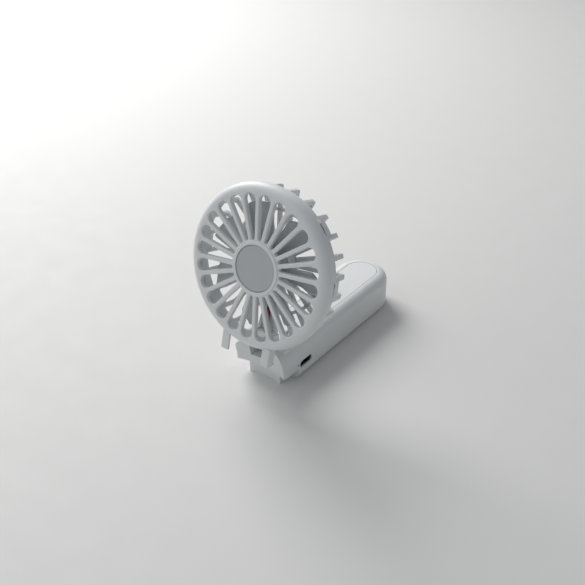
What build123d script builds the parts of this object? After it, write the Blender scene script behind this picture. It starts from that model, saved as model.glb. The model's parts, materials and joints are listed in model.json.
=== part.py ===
from build123d import *
import os
from math import cos, pi, radians, sin, tan

# Folding handheld fan, in millimetres.
# The handle lies along Y with its flat bottom on Z = 0; the origin is the centre of that face.
# The hinge is across the -Y end of the handle, and the head's front faces -Y at rest.

# ---------------------------------------------------------------- driving dimensions
# Handle
HANDLE_LENGTH = 95.0
HANDLE_WIDTH = 27.7
HANDLE_HEIGHT = 19.7
SHELL_WALL = 1.6
TOP_ROUND = 5.0
BOTTOM_ROUND = 3.5
SLOT_FLOOR = 11.4
SLOT_BACK_Y = -39.0
NOTCH_HALF_GAP = 9.0
NOTCH_HEIGHT = 6.2
NOTCH_BACK_Y = -38.4
CAVITY_FRONT_Y = -37.4
NOSE_CAVITY_FRONT_Y = -43.6
NOSE_CAVITY_HALF_WIDTH = 7.4
NOSE_CAVITY_TOP = 10.0
PANEL_HALF_WIDTH = 8.4
PANEL_FRONT_Y = -36.8
PANEL_THICKNESS = 0.85
PANEL_LEDGE = 1.0
BORDER_GAP = 0.2

# Hinge
HINGE_Y = -43.7
HINGE_Z = 18.8
HINGE_DROP = 41.0
HINGE_DEPTH = 19.07
HEAD_TILT = 14.2
KNUCKLE_RADIUS = 3.6
KNUCKLE_OUTER = 12.2
NECK_HALF_WIDTH = 6.4
NECK_GAP = 0.45
PIN_RADIUS = 1.6
PIN_PLAY = 0.05
PIN_BORE = 1.15
PIN_INNER_X = 2.0
PIN_OUTER_X = 11.8
HOLLOW_PIN_INNER_X = 4.4
HOLLOW_PIN_OUTER_X = 8.8

# Fan head; depths are measured behind the plane of the front face
HEAD_RADIUS = 37.8
BEZEL_ROLL = 4.0
BEZEL_DEPTH = 5.4
BEZEL_INNER = 35.9
FACE_THICKNESS = 2.4
SLOT_OUTER = 33.2
SLOT_INNER = 12.9
SPOKES = 24
SPOKE_WIDTH = 2.0
RIM_OUTER = 12.3
RIM_RISE = 0.5
BADGE_RADIUS = 10.4
BADGE_RECESS = 10.65
BADGE_THICKNESS = 1.15
BADGE_PROUD = 0.1
BADGE_CHAMFER = 0.15
REAR_WALL_INNER = 34.4
REAR_WALL_OUTER = 36.4
REAR_WALL_DEPTH = 8.8
REAR_DEPTH = 17.8
RIB_THICKNESS = 1.6
RIB_WIDTH = 2.2
RIB_CORNER_RADIUS = 35.2
HOOP_RADIUS = 24.0
HOOP_WIDTH = 1.6
TONGUE_INNER_X = 9.4
TONGUE_OUTER_X = 13.7
TONGUE_WALL = 1.3
TONGUE_FRONT = 0.9
TONGUE_BACK = 5.3
TONGUE_ROOT = 34.6
TONGUE_HOLLOW_TOP = 38.6
TONGUE_REACH = 45.8
TONGUE_TIP_ROUND = 0.5
TONGUE_HEEL_ROUND = 3.2
WINDOW_ANGLES = (45, 90, 135, 225, 270, 315)

# Motor and impeller
MOTOR_RADIUS = 8.6
MOTOR_FRONT = 5.6
MOTOR_BACK = 14.8
CAN_WALL = 0.5
SEAT_OUTER = 10.2
SEAT_FRONT = 11.0
SHAFT_RADIUS = 0.75
BUSH_RADIUS = 2.2
BLADES = 7
HUB_RADIUS = 10.4
HUB_FRONT = 3.4
HUB_BACK = 10.2
BLADE_TIP = 28.6
BLADE_DEPTH = 7.2
BLADE_THICKNESS = 1.2
BLADE_EDGE_ROUND = 0.48
BLADE_ROOT = 9.9

# Electrics
BOARD_TOP = 6.0
BOARD_THICKNESS = 1.0
USB_Y = -32.6
USB_WIDTH = 8.94
USB_HEIGHT = 3.26
LED_Y = -38.8
LED_Z = 8.3
BUTTON_Y = -20.0
BUTTON_Z = 8.6
BUTTON_LENGTH = 7.2
BUTTON_WIDTH = 4.2
BUTTON_PROUD = 0.6
WIRE_RADIUS = 0.45
WIRE_OFFSET = 0.55
BATTERY_SIZE = (20.0, 45.0, 10.0)
BATTERY_BOTTOM = 3.0
BATTERY_Y = 16.5
BATTERY_ROUND = 3.0
BATTERY_EDGE = 1.0
FOAM_INSET = 1.5
FOAM_ROUND = 2.0

# ---------------------------------------------------------------- worked-out frames
HALF_WIDTH = HANDLE_WIDTH / 2
REAR_CENTRE_Y = HANDLE_LENGTH / 2 - HALF_WIDTH
UP = Vector(0, sin(radians(HEAD_TILT)), cos(radians(HEAD_TILT)))
FRONT = Vector(0, -cos(radians(HEAD_TILT)), sin(radians(HEAD_TILT)))
ACROSS = Vector(1, 0, 0)
HINGE_POINT = Vector(0, HINGE_Y, HINGE_Z)
HEAD_CENTRE = HINGE_POINT + UP * HINGE_DROP + FRONT * HINGE_DEPTH
HEAD_AXIS = Axis(HEAD_CENTRE, FRONT)
HEAD_SECTION = Plane(origin=HEAD_CENTRE, x_dir=ACROSS, z_dir=UP * -1)
HEAD_SIDE = Plane(origin=HEAD_CENTRE, x_dir=UP, z_dir=ACROSS)
USB_Z = BOARD_TOP + USB_HEIGHT / 2
OPEN_ANGLE = 90 + HEAD_TILT


def head_plane(depth):
    """Plane across the head's axis, with Y up the head and Z towards its front."""
    return Plane(origin=HEAD_CENTRE - FRONT * depth, x_dir=ACROSS, z_dir=FRONT)


def radial_direction(angle):
    """Direction out from the head's axis, clockwise from the top as seen from the front."""
    return ACROSS * sin(radians(angle)) + UP * cos(radians(angle))


def radial_plane(angle):
    """Plane through the head's axis: X is the radius and Y points to the front."""
    outward = radial_direction(angle)
    return Plane(origin=HEAD_CENTRE, x_dir=outward, z_dir=outward.cross(FRONT))


def head_point(across, up, depth):
    """Point given in the head's own directions."""
    return HEAD_CENTRE + ACROSS * across + UP * up - FRONT * depth


def rest_to_open(angle):
    """Section plane and axis of the head when it is turned forward by an angle."""
    turned_up = UP.rotate(Axis.X, angle)
    turned_front = FRONT.rotate(Axis.X, angle)
    centre = HINGE_POINT + turned_up * HINGE_DROP + turned_front * HINGE_DEPTH
    return Plane(origin=centre, x_dir=ACROSS, z_dir=turned_up * -1), Axis(centre, turned_front)


def write(piece, name):
    """Label a finished piece and write it as its own node."""
    piece.part.label = name
    export_step(piece.part, f"parts/{name}.step")


os.makedirs("parts", exist_ok=True)

# ---------------------------------------------------------------- handle shell
# One moulded tub: rounded back end, open along the top for the panel, and a concave nose
# that the head's rim nests in when the head is opened in line with the handle.
NOSE_STOCK_Y = -60.0
CLEARANCE = 0.4
OPEN_HEADROOM = 8.0
TURN_HEADROOM = 0.5
FRONT_HEADROOM = 3.0
NEST_RADIUS = 38.9
NEST_DEPTH = 7.0
NEST_STEP_RADIUS = 37.3
NEST_STEP_DEPTH = 9.8
CUT = 1.0
TURN_STEPS = (0, 4, 9, 18, 27)
CAVITY_HALF = HALF_WIDTH - SHELL_WALL
CAVITY_TOP = HANDLE_HEIGHT - SHELL_WALL
OPENING_HALF = PANEL_HALF_WIDTH - PANEL_LEDGE
BOSS_X = 3.6
BOSS_Y = -32.8
BOSS_RADIUS = 2.1
PAD_RADIUS = 2.9
PAD_THICKNESS = 1.8
SCREW_RADIUS = 0.95
SCREW_HEAD_RADIUS = 1.8
SCREW_HEAD_DEPTH = 0.9
SCREW_LENGTH = 8.0
BUTTON_PLAY = 0.15
LIGHT_PIPE_RADIUS = 0.5
LIGHT_PIPE_PLAY = 0.05
USB_PLAY = 0.22
WIRE_TURN_X = 10.2
WIRE_WAY_RADIUS = 1.5
HANDLE_WIRE_SLOPE = Vector(0, 7.5, -5.2)
HANDLE_WIRE_WAY = 8.6


def rounded_plan(front_y, half_width):
    """Handle-shaped outline: straight sides and a half-round back end."""
    length = REAR_CENTRE_Y - front_y
    with Locations((0, front_y + length / 2)):
        Rectangle(2 * half_width, length)
    with Locations((0, REAR_CENTRE_Y)):
        Circle(half_width)


with BuildPart() as cavity:
    with BuildSketch(Plane.XY.offset(SHELL_WALL)):
        rounded_plan(CAVITY_FRONT_Y, CAVITY_HALF)
    extrude(amount=CAVITY_TOP - SHELL_WALL)
    fillet(cavity.edges().group_by(Axis.Z)[-1], TOP_ROUND - SHELL_WALL)
    fillet(cavity.edges().group_by(Axis.Z)[0], BOTTOM_ROUND - SHELL_WALL)

with BuildPart() as handle_shell:
    with BuildSketch(Plane.XY):
        rounded_plan(NOSE_STOCK_Y, HALF_WIDTH)
    extrude(amount=HANDLE_HEIGHT)
    fillet(handle_shell.edges().group_by(Axis.Z)[-1], TOP_ROUND)
    fillet(handle_shell.edges().group_by(Axis.Z)[0], BOTTOM_ROUND)
    # Hinge knuckles on the two prongs
    for side in (-1, 1):
        with BuildSketch(Plane.YZ.offset(side * NECK_HALF_WIDTH)):
            with Locations((HINGE_Y, HINGE_Z)):
                Circle(KNUCKLE_RADIUS)
        extrude(amount=side * (KNUCKLE_OUTER - NECK_HALF_WIDTH))
    # Concave nose, cleared for the head's rim on its way to the open position
    for step_back in TURN_STEPS:
        section, axis = rest_to_open(OPEN_ANGLE - step_back)
        top = -REAR_DEPTH - CLEARANCE - (OPEN_HEADROOM if step_back == 0 else TURN_HEADROOM)
        with BuildSketch(section):
            with BuildLine():
                Polyline(
                    (0, FRONT_HEADROOM),
                    (NEST_RADIUS, FRONT_HEADROOM),
                    (NEST_RADIUS, -NEST_DEPTH),
                    (NEST_STEP_RADIUS, -NEST_DEPTH),
                    (NEST_STEP_RADIUS, -NEST_STEP_DEPTH),
                    (RIB_CORNER_RADIUS + CLEARANCE, -REAR_DEPTH - CLEARANCE),
                    (RIB_CORNER_RADIUS + CLEARANCE, top),
                    (0, top),
                    close=True,
                )
            make_face()
        revolve(axis=axis, revolution_arc=360, mode=Mode.SUBTRACT)
    # Slot for the head's neck
    with BuildSketch(Plane.XY.offset(SLOT_FLOOR)):
        with Locations((0, (NOSE_STOCK_Y + SLOT_BACK_Y) / 2)):
            Rectangle(2 * (NECK_HALF_WIDTH + NECK_GAP), SLOT_BACK_Y - NOSE_STOCK_Y)
    extrude(amount=HANDLE_HEIGHT, mode=Mode.SUBTRACT)
    # Corner notches for the head's tongues
    with BuildSketch(Plane.XY.offset(-CUT)):
        for side in (-1, 1):
            with Locations((side * (NOTCH_HALF_GAP + HALF_WIDTH / 2), (NOSE_STOCK_Y + NOTCH_BACK_Y) / 2)):
                Rectangle(HALF_WIDTH, NOTCH_BACK_Y - NOSE_STOCK_Y)
    extrude(amount=NOTCH_HEIGHT + CUT, mode=Mode.SUBTRACT)
    # Inside: main cavity, its low extension into the nose, and the opening under the panel
    add(cavity.part, mode=Mode.SUBTRACT)
    with BuildSketch(Plane.XY.offset(SHELL_WALL)):
        with Locations((0, (NOSE_CAVITY_FRONT_Y + CAVITY_FRONT_Y + CUT) / 2)):
            Rectangle(2 * NOSE_CAVITY_HALF_WIDTH, CAVITY_FRONT_Y + CUT - NOSE_CAVITY_FRONT_Y)
    extrude(amount=NOSE_CAVITY_TOP - SHELL_WALL, mode=Mode.SUBTRACT)
    with BuildSketch(Plane.XY.offset(CAVITY_TOP - CUT)):
        rounded_plan(PANEL_FRONT_Y + PANEL_LEDGE, OPENING_HALF)
    extrude(amount=HANDLE_HEIGHT, mode=Mode.SUBTRACT)
    with BuildSketch(Plane.XY.offset(HANDLE_HEIGHT - PANEL_THICKNESS)):
        rounded_plan(PANEL_FRONT_Y - BORDER_GAP, PANEL_HALF_WIDTH + BORDER_GAP)
    extrude(amount=HANDLE_HEIGHT, mode=Mode.SUBTRACT)
    # Screw bosses that stand on the floor
    with BuildSketch(Plane.XY.offset(SHELL_WALL)):
        with Locations((-BOSS_X, BOSS_Y), (BOSS_X, BOSS_Y)):
            Circle(BOSS_RADIUS)
            Circle(SCREW_RADIUS, mode=Mode.SUBTRACT)
    extrude(amount=HANDLE_HEIGHT - PAD_THICKNESS - SHELL_WALL)
    # Charging port, status light and button openings through the side walls
    with BuildSketch(Plane.YZ.offset(CAVITY_HALF - CUT)):
        with Locations((USB_Y, USB_Z)):
            SlotOverall(USB_WIDTH + 2 * USB_PLAY, USB_HEIGHT + 2 * USB_PLAY)
    extrude(amount=SHELL_WALL + 2 * CUT, mode=Mode.SUBTRACT)
    with BuildSketch(Plane.YZ.offset(NOSE_CAVITY_HALF_WIDTH - CUT)):
        with Locations((LED_Y, LED_Z)):
            Circle(LIGHT_PIPE_RADIUS + LIGHT_PIPE_PLAY)
    extrude(amount=HALF_WIDTH, mode=Mode.SUBTRACT)
    with BuildSketch(Plane.YZ.offset(-CAVITY_HALF + CUT)):
        with Locations((BUTTON_Y, BUTTON_Z)):
            SlotOverall(BUTTON_LENGTH + 2 * BUTTON_PLAY, BUTTON_WIDTH + 2 * BUTTON_PLAY)
    extrude(amount=-SHELL_WALL - 2 * CUT, mode=Mode.SUBTRACT)
    # Pin bores, and the wire way from the hollow pin back into the cavity
    with BuildSketch(Plane.YZ.offset(-PIN_OUTER_X)):
        with Locations((HINGE_Y, HINGE_Z)):
            Circle(PIN_RADIUS)
    extrude(amount=2 * PIN_OUTER_X, mode=Mode.SUBTRACT)
    wire_way = Plane(origin=(WIRE_TURN_X, HINGE_Y, HINGE_Z), z_dir=HANDLE_WIRE_SLOPE)
    with BuildSketch(wire_way):
        Circle(WIRE_WAY_RADIUS)
    extrude(amount=HANDLE_WIRE_WAY, mode=Mode.SUBTRACT)
write(handle_shell, "handle_shell")

# ---------------------------------------------------------------- top panel and its screws
LOCATING_RIB = (5.0, 1.6)
LOCATING_RIB_DROP = 1.2
SCREW_PLAY = 0.05
HEAD_PLAY = 0.25
HEAD_SUNK = 0.1
CROSS_LENGTH = 2.4
CROSS_WIDTH = 0.5
CROSS_DEPTH = 0.4

with BuildPart() as top_panel:
    with BuildSketch(Plane.XY.offset(HANDLE_HEIGHT - PANEL_THICKNESS)):
        rounded_plan(PANEL_FRONT_Y, PANEL_HALF_WIDTH)
    extrude(amount=PANEL_THICKNESS)
    with BuildSketch(Plane.XY.offset(HANDLE_HEIGHT - PAD_THICKNESS)):
        with Locations((-BOSS_X, BOSS_Y), (BOSS_X, BOSS_Y)):
            Circle(PAD_RADIUS)
    extrude(amount=PAD_THICKNESS - PANEL_THICKNESS / 2)
    # Locating rib that drops into the opening at the back end
    with BuildSketch(Plane.XY.offset(CAVITY_TOP - LOCATING_RIB_DROP)):
        with Locations((0, REAR_CENTRE_Y + OPENING_HALF - LOCATING_RIB[1])):
            Rectangle(*LOCATING_RIB)
    extrude(amount=HANDLE_HEIGHT - PANEL_THICKNESS / 2 - CAVITY_TOP + LOCATING_RIB_DROP)
    with Locations((-BOSS_X, BOSS_Y, HANDLE_HEIGHT), (BOSS_X, BOSS_Y, HANDLE_HEIGHT)):
        CounterSinkHole(SCREW_RADIUS, SCREW_HEAD_RADIUS, depth=PAD_THICKNESS + CUT)
write(top_panel, "top_panel")

with BuildPart() as panel_screws:
    head_top = HANDLE_HEIGHT - HEAD_SUNK
    with BuildSketch(Plane.XY.offset(HANDLE_HEIGHT - SCREW_LENGTH)):
        with Locations((-BOSS_X, BOSS_Y), (BOSS_X, BOSS_Y)):
            Circle(SCREW_RADIUS - SCREW_PLAY)
    extrude(amount=SCREW_LENGTH - SCREW_HEAD_DEPTH / 3)
    with Locations((-BOSS_X, BOSS_Y, head_top), (BOSS_X, BOSS_Y, head_top)):
        Cone(
            SCREW_RADIUS - SCREW_PLAY,
            SCREW_HEAD_RADIUS - HEAD_PLAY,
            SCREW_HEAD_DEPTH - HEAD_PLAY,
            align=(Align.CENTER, Align.CENTER, Align.MAX),
        )
        for cross in ((CROSS_LENGTH, CROSS_WIDTH), (CROSS_WIDTH, CROSS_LENGTH)):
            Box(*cross, CROSS_DEPTH, align=(Align.CENTER, Align.CENTER, Align.MAX), mode=Mode.SUBTRACT)
write(panel_screws, "panel_screws")

# ---------------------------------------------------------------- front grille
# Rolled bezel, flat face with tapering round-ended slots, raised hub rim and two tongues.
ROLL_START = HEAD_RADIUS - BEZEL_ROLL
SLOT_END_ROUND = 2.7
SLOT_ROOT_ROUND = 0.55
HALF_PITCH = radians(180 / SPOKES)


def slot_half_width(radius):
    """Half of the gap between two spokes at a radius."""
    return radius * tan(HALF_PITCH) - SPOKE_WIDTH / 2 / cos(HALF_PITCH)


with BuildSketch() as slot_outline:
    with BuildLine():
        Polyline(
            (SLOT_INNER, -slot_half_width(SLOT_INNER)),
            (SLOT_OUTER, -slot_half_width(SLOT_OUTER)),
            (SLOT_OUTER, slot_half_width(SLOT_OUTER)),
            (SLOT_INNER, slot_half_width(SLOT_INNER)),
            close=True,
        )
    make_face()
    fillet(slot_outline.vertices().group_by(Axis.X)[-1], SLOT_END_ROUND)
    fillet(slot_outline.vertices().group_by(Axis.X)[0], SLOT_ROOT_ROUND)

with BuildPart() as front_grille:
    with BuildSketch(HEAD_SECTION):
        with BuildLine():
            Line((0, -BADGE_THICKNESS), (BADGE_RECESS, -BADGE_THICKNESS))
            Line((BADGE_RECESS, -BADGE_THICKNESS), (BADGE_RECESS, RIM_RISE))
            Line((BADGE_RECESS, RIM_RISE), (RIM_OUTER - RIM_RISE, RIM_RISE))
            Line((RIM_OUTER - RIM_RISE, RIM_RISE), (RIM_OUTER, 0))
            Line((RIM_OUTER, 0), (ROLL_START, 0))
            TangentArc((ROLL_START, 0), (HEAD_RADIUS, -BEZEL_ROLL), tangent=(1, 0))
            Line((HEAD_RADIUS, -BEZEL_ROLL), (HEAD_RADIUS, -BEZEL_DEPTH))
            Line((HEAD_RADIUS, -BEZEL_DEPTH), (BEZEL_INNER, -BEZEL_DEPTH))
            Line((BEZEL_INNER, -BEZEL_DEPTH), (BEZEL_INNER, -BEZEL_ROLL))
            Line((BEZEL_INNER, -BEZEL_ROLL), (ROLL_START, -FACE_THICKNESS))
            Line((ROLL_START, -FACE_THICKNESS), (0, -FACE_THICKNESS))
            Line((0, -FACE_THICKNESS), (0, -BADGE_THICKNESS))
        make_face()
    revolve(axis=HEAD_AXIS, revolution_arc=360)
    with BuildSketch(head_plane(-CUT)):
        with PolarLocations(0, SPOKES):
            add(slot_outline.sketch)
    extrude(amount=-FACE_THICKNESS - 2 * CUT, mode=Mode.SUBTRACT)
    # Tongues: L-shaped in section, a front plate with a wall along its outer side
    hollow_middle = -(TONGUE_HOLLOW_TOP + TONGUE_REACH) / 2
    for side in (-1, 1):
        outer_side = Plane(origin=head_point(side * TONGUE_OUTER_X, 0, 0), x_dir=UP, z_dir=ACROSS)
        with BuildSketch(outer_side):
            with BuildLine():
                FilletPolyline(
                    (-TONGUE_ROOT, -TONGUE_FRONT),
                    (-TONGUE_REACH, -TONGUE_FRONT),
                    (-TONGUE_REACH, -TONGUE_BACK),
                    (-TONGUE_ROOT, -TONGUE_BACK),
                    radius=(TONGUE_TIP_ROUND, TONGUE_HEEL_ROUND, TONGUE_TIP_ROUND, TONGUE_TIP_ROUND),
                    close=True,
                )
            make_face()
        extrude(amount=-side * (TONGUE_OUTER_X - TONGUE_INNER_X))
        inner_side = Plane(origin=head_point(side * TONGUE_INNER_X, 0, 0), x_dir=UP, z_dir=ACROSS)
        with BuildSketch(inner_side):
            with Locations((hollow_middle, -TONGUE_FRONT - TONGUE_WALL - TONGUE_BACK / 2)):
                Rectangle(TONGUE_REACH - TONGUE_HOLLOW_TOP + CUT, TONGUE_BACK)
        extrude(amount=side * (TONGUE_OUTER_X - TONGUE_INNER_X - TONGUE_WALL), mode=Mode.SUBTRACT)
write(front_grille, "front_grille")

with BuildPart() as centre_badge:
    with BuildSketch(head_plane(BADGE_THICKNESS)):
        Circle(BADGE_RADIUS)
    extrude(amount=BADGE_THICKNESS + BADGE_PROUD)
    chamfer(centre_badge.edges().group_by(HEAD_AXIS)[-1], BADGE_CHAMFER)
write(centre_badge, "centre_badge")

# ---------------------------------------------------------------- rear grille
# Ring wall with a lip inside the bezel, 24 L-shaped ribs, hoop, motor seat and neck.
LIP_GAP = 0.2
LIP_FRONT = 4.1
SEAT_INNER = 8.7
SEAT_SHOULDER = 7.2
REAR_HOLE = 2.6
RIB_INNER_DEPTH = REAR_DEPTH - RIB_THICKNESS
RIB_ROOT = 0.8
RIB_INSET = 0.3
RIB_SPREAD = 0.25
RIB_CORNER_CUT = 1.3
RIB_INNER_CUT = 1.7
RIB_INNER_RISE = 0.9
WINDOW_HALF_ANGLE = 180 / SPOKES
WINDOW_BACK = 12.0
WINDOW_INNER = 34.5
WINDOW_WALL = 1.6
SLIT_FRONT = 6.9
SLIT_BACK = 7.9
SLIT_HALF_ANGLE = 5.2
SLIT_REACH = 6.0
CHANNEL_WIDTH = 5.6
CHANNEL_END = 35.2
NECK_ROOT = 34.0
NECK_FRONT = 13.0
NECK_TOE = 36.6
NECK_HEEL = 1.0
WIRE_DEPTH = 15.4
WIRE_WAY_WIDTH = 4.6
WIRE_WAY_HEIGHT = 1.8

with BuildPart() as rear_grille:
    with BuildSketch(HEAD_SECTION):
        with BuildLine():
            Polyline(
                (REAR_WALL_INNER, -LIP_FRONT),
                (BEZEL_INNER - LIP_GAP, -LIP_FRONT),
                (BEZEL_INNER - LIP_GAP, -BEZEL_DEPTH),
                (REAR_WALL_OUTER, -BEZEL_DEPTH),
                (REAR_WALL_OUTER, -REAR_WALL_DEPTH),
                (REAR_WALL_INNER, -REAR_WALL_DEPTH),
                close=True,
            )
        make_face()
        with BuildLine():
            Polyline(
                (REAR_HOLE, -RIB_INNER_DEPTH),
                (SEAT_SHOULDER, -RIB_INNER_DEPTH),
                (SEAT_SHOULDER, -MOTOR_BACK),
                (SEAT_INNER, -MOTOR_BACK),
                (SEAT_INNER, -SEAT_FRONT),
                (SEAT_OUTER, -SEAT_FRONT),
                (SEAT_OUTER, -REAR_DEPTH),
                (REAR_HOLE, -REAR_DEPTH),
                close=True,
            )
        make_face()
    revolve(axis=HEAD_AXIS, revolution_arc=360)
    with BuildSketch(head_plane(REAR_DEPTH)):
        Circle(HOOP_RADIUS + HOOP_WIDTH / 2)
        Circle(HOOP_RADIUS - HOOP_WIDTH / 2, mode=Mode.SUBTRACT)
    extrude(amount=RIB_THICKNESS)
    for number in range(SPOKES):
        with BuildSketch(radial_plane((number + 0.5) * 360 / SPOKES)):
            with BuildLine():
                Polyline(
                    (REAR_WALL_OUTER - RIB_INSET, -REAR_WALL_DEPTH + RIB_ROOT),
                    (RIB_CORNER_RADIUS + RIB_SPREAD, -REAR_DEPTH + RIB_THICKNESS),
                    (RIB_CORNER_RADIUS - RIB_CORNER_CUT, -REAR_DEPTH),
                    (SEAT_OUTER - RIB_ROOT, -REAR_DEPTH),
                    (SEAT_OUTER - RIB_ROOT, -RIB_INNER_DEPTH),
                    (RIB_CORNER_RADIUS - RIB_INNER_CUT - RIB_INNER_RISE, -RIB_INNER_DEPTH),
                    (RIB_CORNER_RADIUS - RIB_INNER_CUT, -RIB_INNER_DEPTH + RIB_INNER_RISE),
                    (REAR_WALL_INNER, -REAR_WALL_DEPTH + RIB_ROOT),
                    close=True,
                )
            make_face()
        extrude(amount=RIB_WIDTH / 2, both=True)
    # Snap windows: a short wall between two ribs, with a slit in front of it
    window_front = REAR_WALL_DEPTH - RIB_ROOT
    for angle in WINDOW_ANGLES:
        with BuildSketch(radial_plane(angle + WINDOW_HALF_ANGLE)):
            with Locations((WINDOW_INNER + WINDOW_WALL / 2, -(window_front + WINDOW_BACK) / 2)):
                Rectangle(WINDOW_WALL, WINDOW_BACK - window_front)
        revolve(axis=HEAD_AXIS, revolution_arc=2 * WINDOW_HALF_ANGLE)
        with BuildSketch(radial_plane(angle + SLIT_HALF_ANGLE)):
            with Locations((REAR_WALL_OUTER, -(SLIT_FRONT + SLIT_BACK) / 2)):
                Rectangle(SLIT_REACH, SLIT_BACK - SLIT_FRONT)
        revolve(axis=HEAD_AXIS, revolution_arc=2 * SLIT_HALF_ANGLE, mode=Mode.SUBTRACT)
    # Wire channel floor from the motor seat down to the neck
    with BuildSketch(head_plane(REAR_DEPTH)):
        with Locations((0, -(SEAT_OUTER + CHANNEL_END) / 2)):
            Rectangle(CHANNEL_WIDTH, CHANNEL_END - SEAT_OUTER + CUT)
    extrude(amount=RIB_THICKNESS)
    # Neck and hinge barrel
    with BuildSketch(HEAD_SIDE):
        with BuildLine():
            Polyline(
                (-NECK_ROOT, -NECK_FRONT),
                (-HINGE_DROP, -HINGE_DEPTH + KNUCKLE_RADIUS),
                (-HINGE_DROP, -HINGE_DEPTH),
                (-HINGE_DROP + KNUCKLE_RADIUS, -HINGE_DEPTH - NECK_HEEL),
                (-NECK_TOE, -REAR_DEPTH),
                (-NECK_ROOT, -REAR_DEPTH),
                close=True,
            )
        make_face()
        with Locations((-HINGE_DROP, -HINGE_DEPTH)):
            Circle(KNUCKLE_RADIUS)
    extrude(amount=NECK_HALF_WIDTH, both=True)
    with BuildSketch(HEAD_SIDE):
        with Locations((-HINGE_DROP, -HINGE_DEPTH)):
            Circle(PIN_RADIUS + PIN_PLAY)
    extrude(amount=NECK_HALF_WIDTH + CUT, both=True, mode=Mode.SUBTRACT)
    # Wire way through the seat wall and the neck to the barrel's bore
    with BuildSketch(head_plane(RIB_INNER_DEPTH)):
        with Locations((0, -(SEAT_SHOULDER + SEAT_OUTER) / 2)):
            Rectangle(WIRE_WAY_WIDTH, SEAT_OUTER - SEAT_SHOULDER + 2 * CUT)
    extrude(amount=WIRE_WAY_HEIGHT, mode=Mode.SUBTRACT)
    wire_start = head_point(0, -NECK_ROOT + CUT, WIRE_DEPTH)
    wire_slope = head_point(0, -HINGE_DROP, HINGE_DEPTH) - wire_start
    with BuildSketch(Plane(origin=wire_start, x_dir=ACROSS, z_dir=wire_slope)):
        Rectangle(WIRE_WAY_WIDTH, WIRE_WAY_HEIGHT)
    extrude(amount=wire_slope.length, mode=Mode.SUBTRACT)
write(rear_grille, "rear_grille")

# ---------------------------------------------------------------- impeller
# Twisted blades on a cup-shaped hub that covers the front of the motor.
# Radius, chord and pitch angle of each blade section, root first
BLADE_SECTIONS = ((BLADE_ROOT, 8.6, -42), (19.0, 11.6, -33), (BLADE_TIP, 13.2, -28))
BLADE_PHASE = 36.0
HUB_WALL = 1.0
HUB_NOSE = 1.4
HUB_FLOOR = 1.3
HUB_BOSS = 1.5


def blade_plane(angle, radius, pitch):
    """Plane across a blade at a radius, turned by its pitch."""
    outward = radial_direction(angle)
    around = outward.cross(FRONT)
    chord = around * cos(radians(pitch)) + FRONT * sin(radians(pitch))
    centre = HEAD_CENTRE + outward * radius - FRONT * BLADE_DEPTH
    return Plane(origin=centre, x_dir=chord, z_dir=outward)


with BuildPart() as impeller:
    with BuildSketch(HEAD_SECTION):
        with BuildLine():
            Polyline(
                (SHAFT_RADIUS, -HUB_FRONT),
                (HUB_RADIUS - HUB_NOSE, -HUB_FRONT),
                (HUB_RADIUS, -HUB_FRONT - HUB_NOSE),
                (HUB_RADIUS, -HUB_BACK),
                (HUB_RADIUS - HUB_WALL, -HUB_BACK),
                (HUB_RADIUS - HUB_WALL, -HUB_FRONT - HUB_FLOOR),
                (BUSH_RADIUS, -HUB_FRONT - HUB_FLOOR),
                (BUSH_RADIUS, -HUB_FRONT - HUB_BOSS),
                (SHAFT_RADIUS, -HUB_FRONT - HUB_BOSS),
                close=True,
            )
        make_face()
    revolve(axis=HEAD_AXIS, revolution_arc=360)
    for number in range(BLADES):
        angle = BLADE_PHASE + number * 360 / BLADES
        for radius, chord, pitch in BLADE_SECTIONS:
            with BuildSketch(blade_plane(angle, radius, pitch)):
                RectangleRounded(chord, BLADE_THICKNESS, BLADE_EDGE_ROUND)
        loft()
write(impeller, "impeller")

# ---------------------------------------------------------------- motor
SHAFT_FRONT = 3.5
SHAFT_BACK = 15.9
END_CAP_FRONT = 13.4
CORE_FRONT = 7.8
CORE_BACK = 11.8
CORE_RADIUS = 5.5
COMMUTATOR_BACK = 13.1
MAGNET_INNER = 6.1
MAGNET_ARC = 140
MAGNET_OVERHANG = 0.5
CAN_FACE = 0.8
BUSHING_PROUD = 0.3
BUSHING_DEPTH = 1.4
SHAFT_PLAY = 0.03
REAR_BUSH_RADIUS = 1.8
COMMUTATOR_RADIUS = 1.6
POLES = 3
POLE_GAP = (4.4, 1.6)
POLE_GAP_RADIUS = 4.3


def head_tube(front, back, outer, inner):
    """Tube about the head's axis, between two depths."""
    with BuildPart() as tube:
        with BuildSketch(head_plane(back)):
            Circle(outer)
            Circle(inner, mode=Mode.SUBTRACT)
        extrude(amount=back - front)
    return tube


can_face = head_tube(MOTOR_FRONT, MOTOR_FRONT + CAN_FACE, MOTOR_RADIUS - CAN_WALL / 2, BUSH_RADIUS)
with BuildPart() as motor_can:
    add(head_tube(MOTOR_FRONT, MOTOR_BACK, MOTOR_RADIUS, MOTOR_RADIUS - CAN_WALL).part)
    add(can_face.part)
write(motor_can, "motor_can")

motor_end_cap = head_tube(END_CAP_FRONT, MOTOR_BACK, MOTOR_RADIUS - CAN_WALL, REAR_BUSH_RADIUS)
write(motor_end_cap, "motor_end_cap")

bushing_front = MOTOR_FRONT - BUSHING_PROUD
bushing_back = MOTOR_FRONT + BUSHING_DEPTH
front_bushing = head_tube(bushing_front, bushing_back, BUSH_RADIUS, SHAFT_RADIUS + SHAFT_PLAY)
write(front_bushing, "front_bushing")

rear_bushing = head_tube(END_CAP_FRONT, MOTOR_BACK, REAR_BUSH_RADIUS, SHAFT_RADIUS + SHAFT_PLAY)
write(rear_bushing, "rear_bushing")

with BuildPart() as motor_shaft:
    with BuildSketch(head_plane(SHAFT_BACK)):
        Circle(SHAFT_RADIUS)
    extrude(amount=SHAFT_BACK - SHAFT_FRONT)
write(motor_shaft, "motor_shaft")

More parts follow.
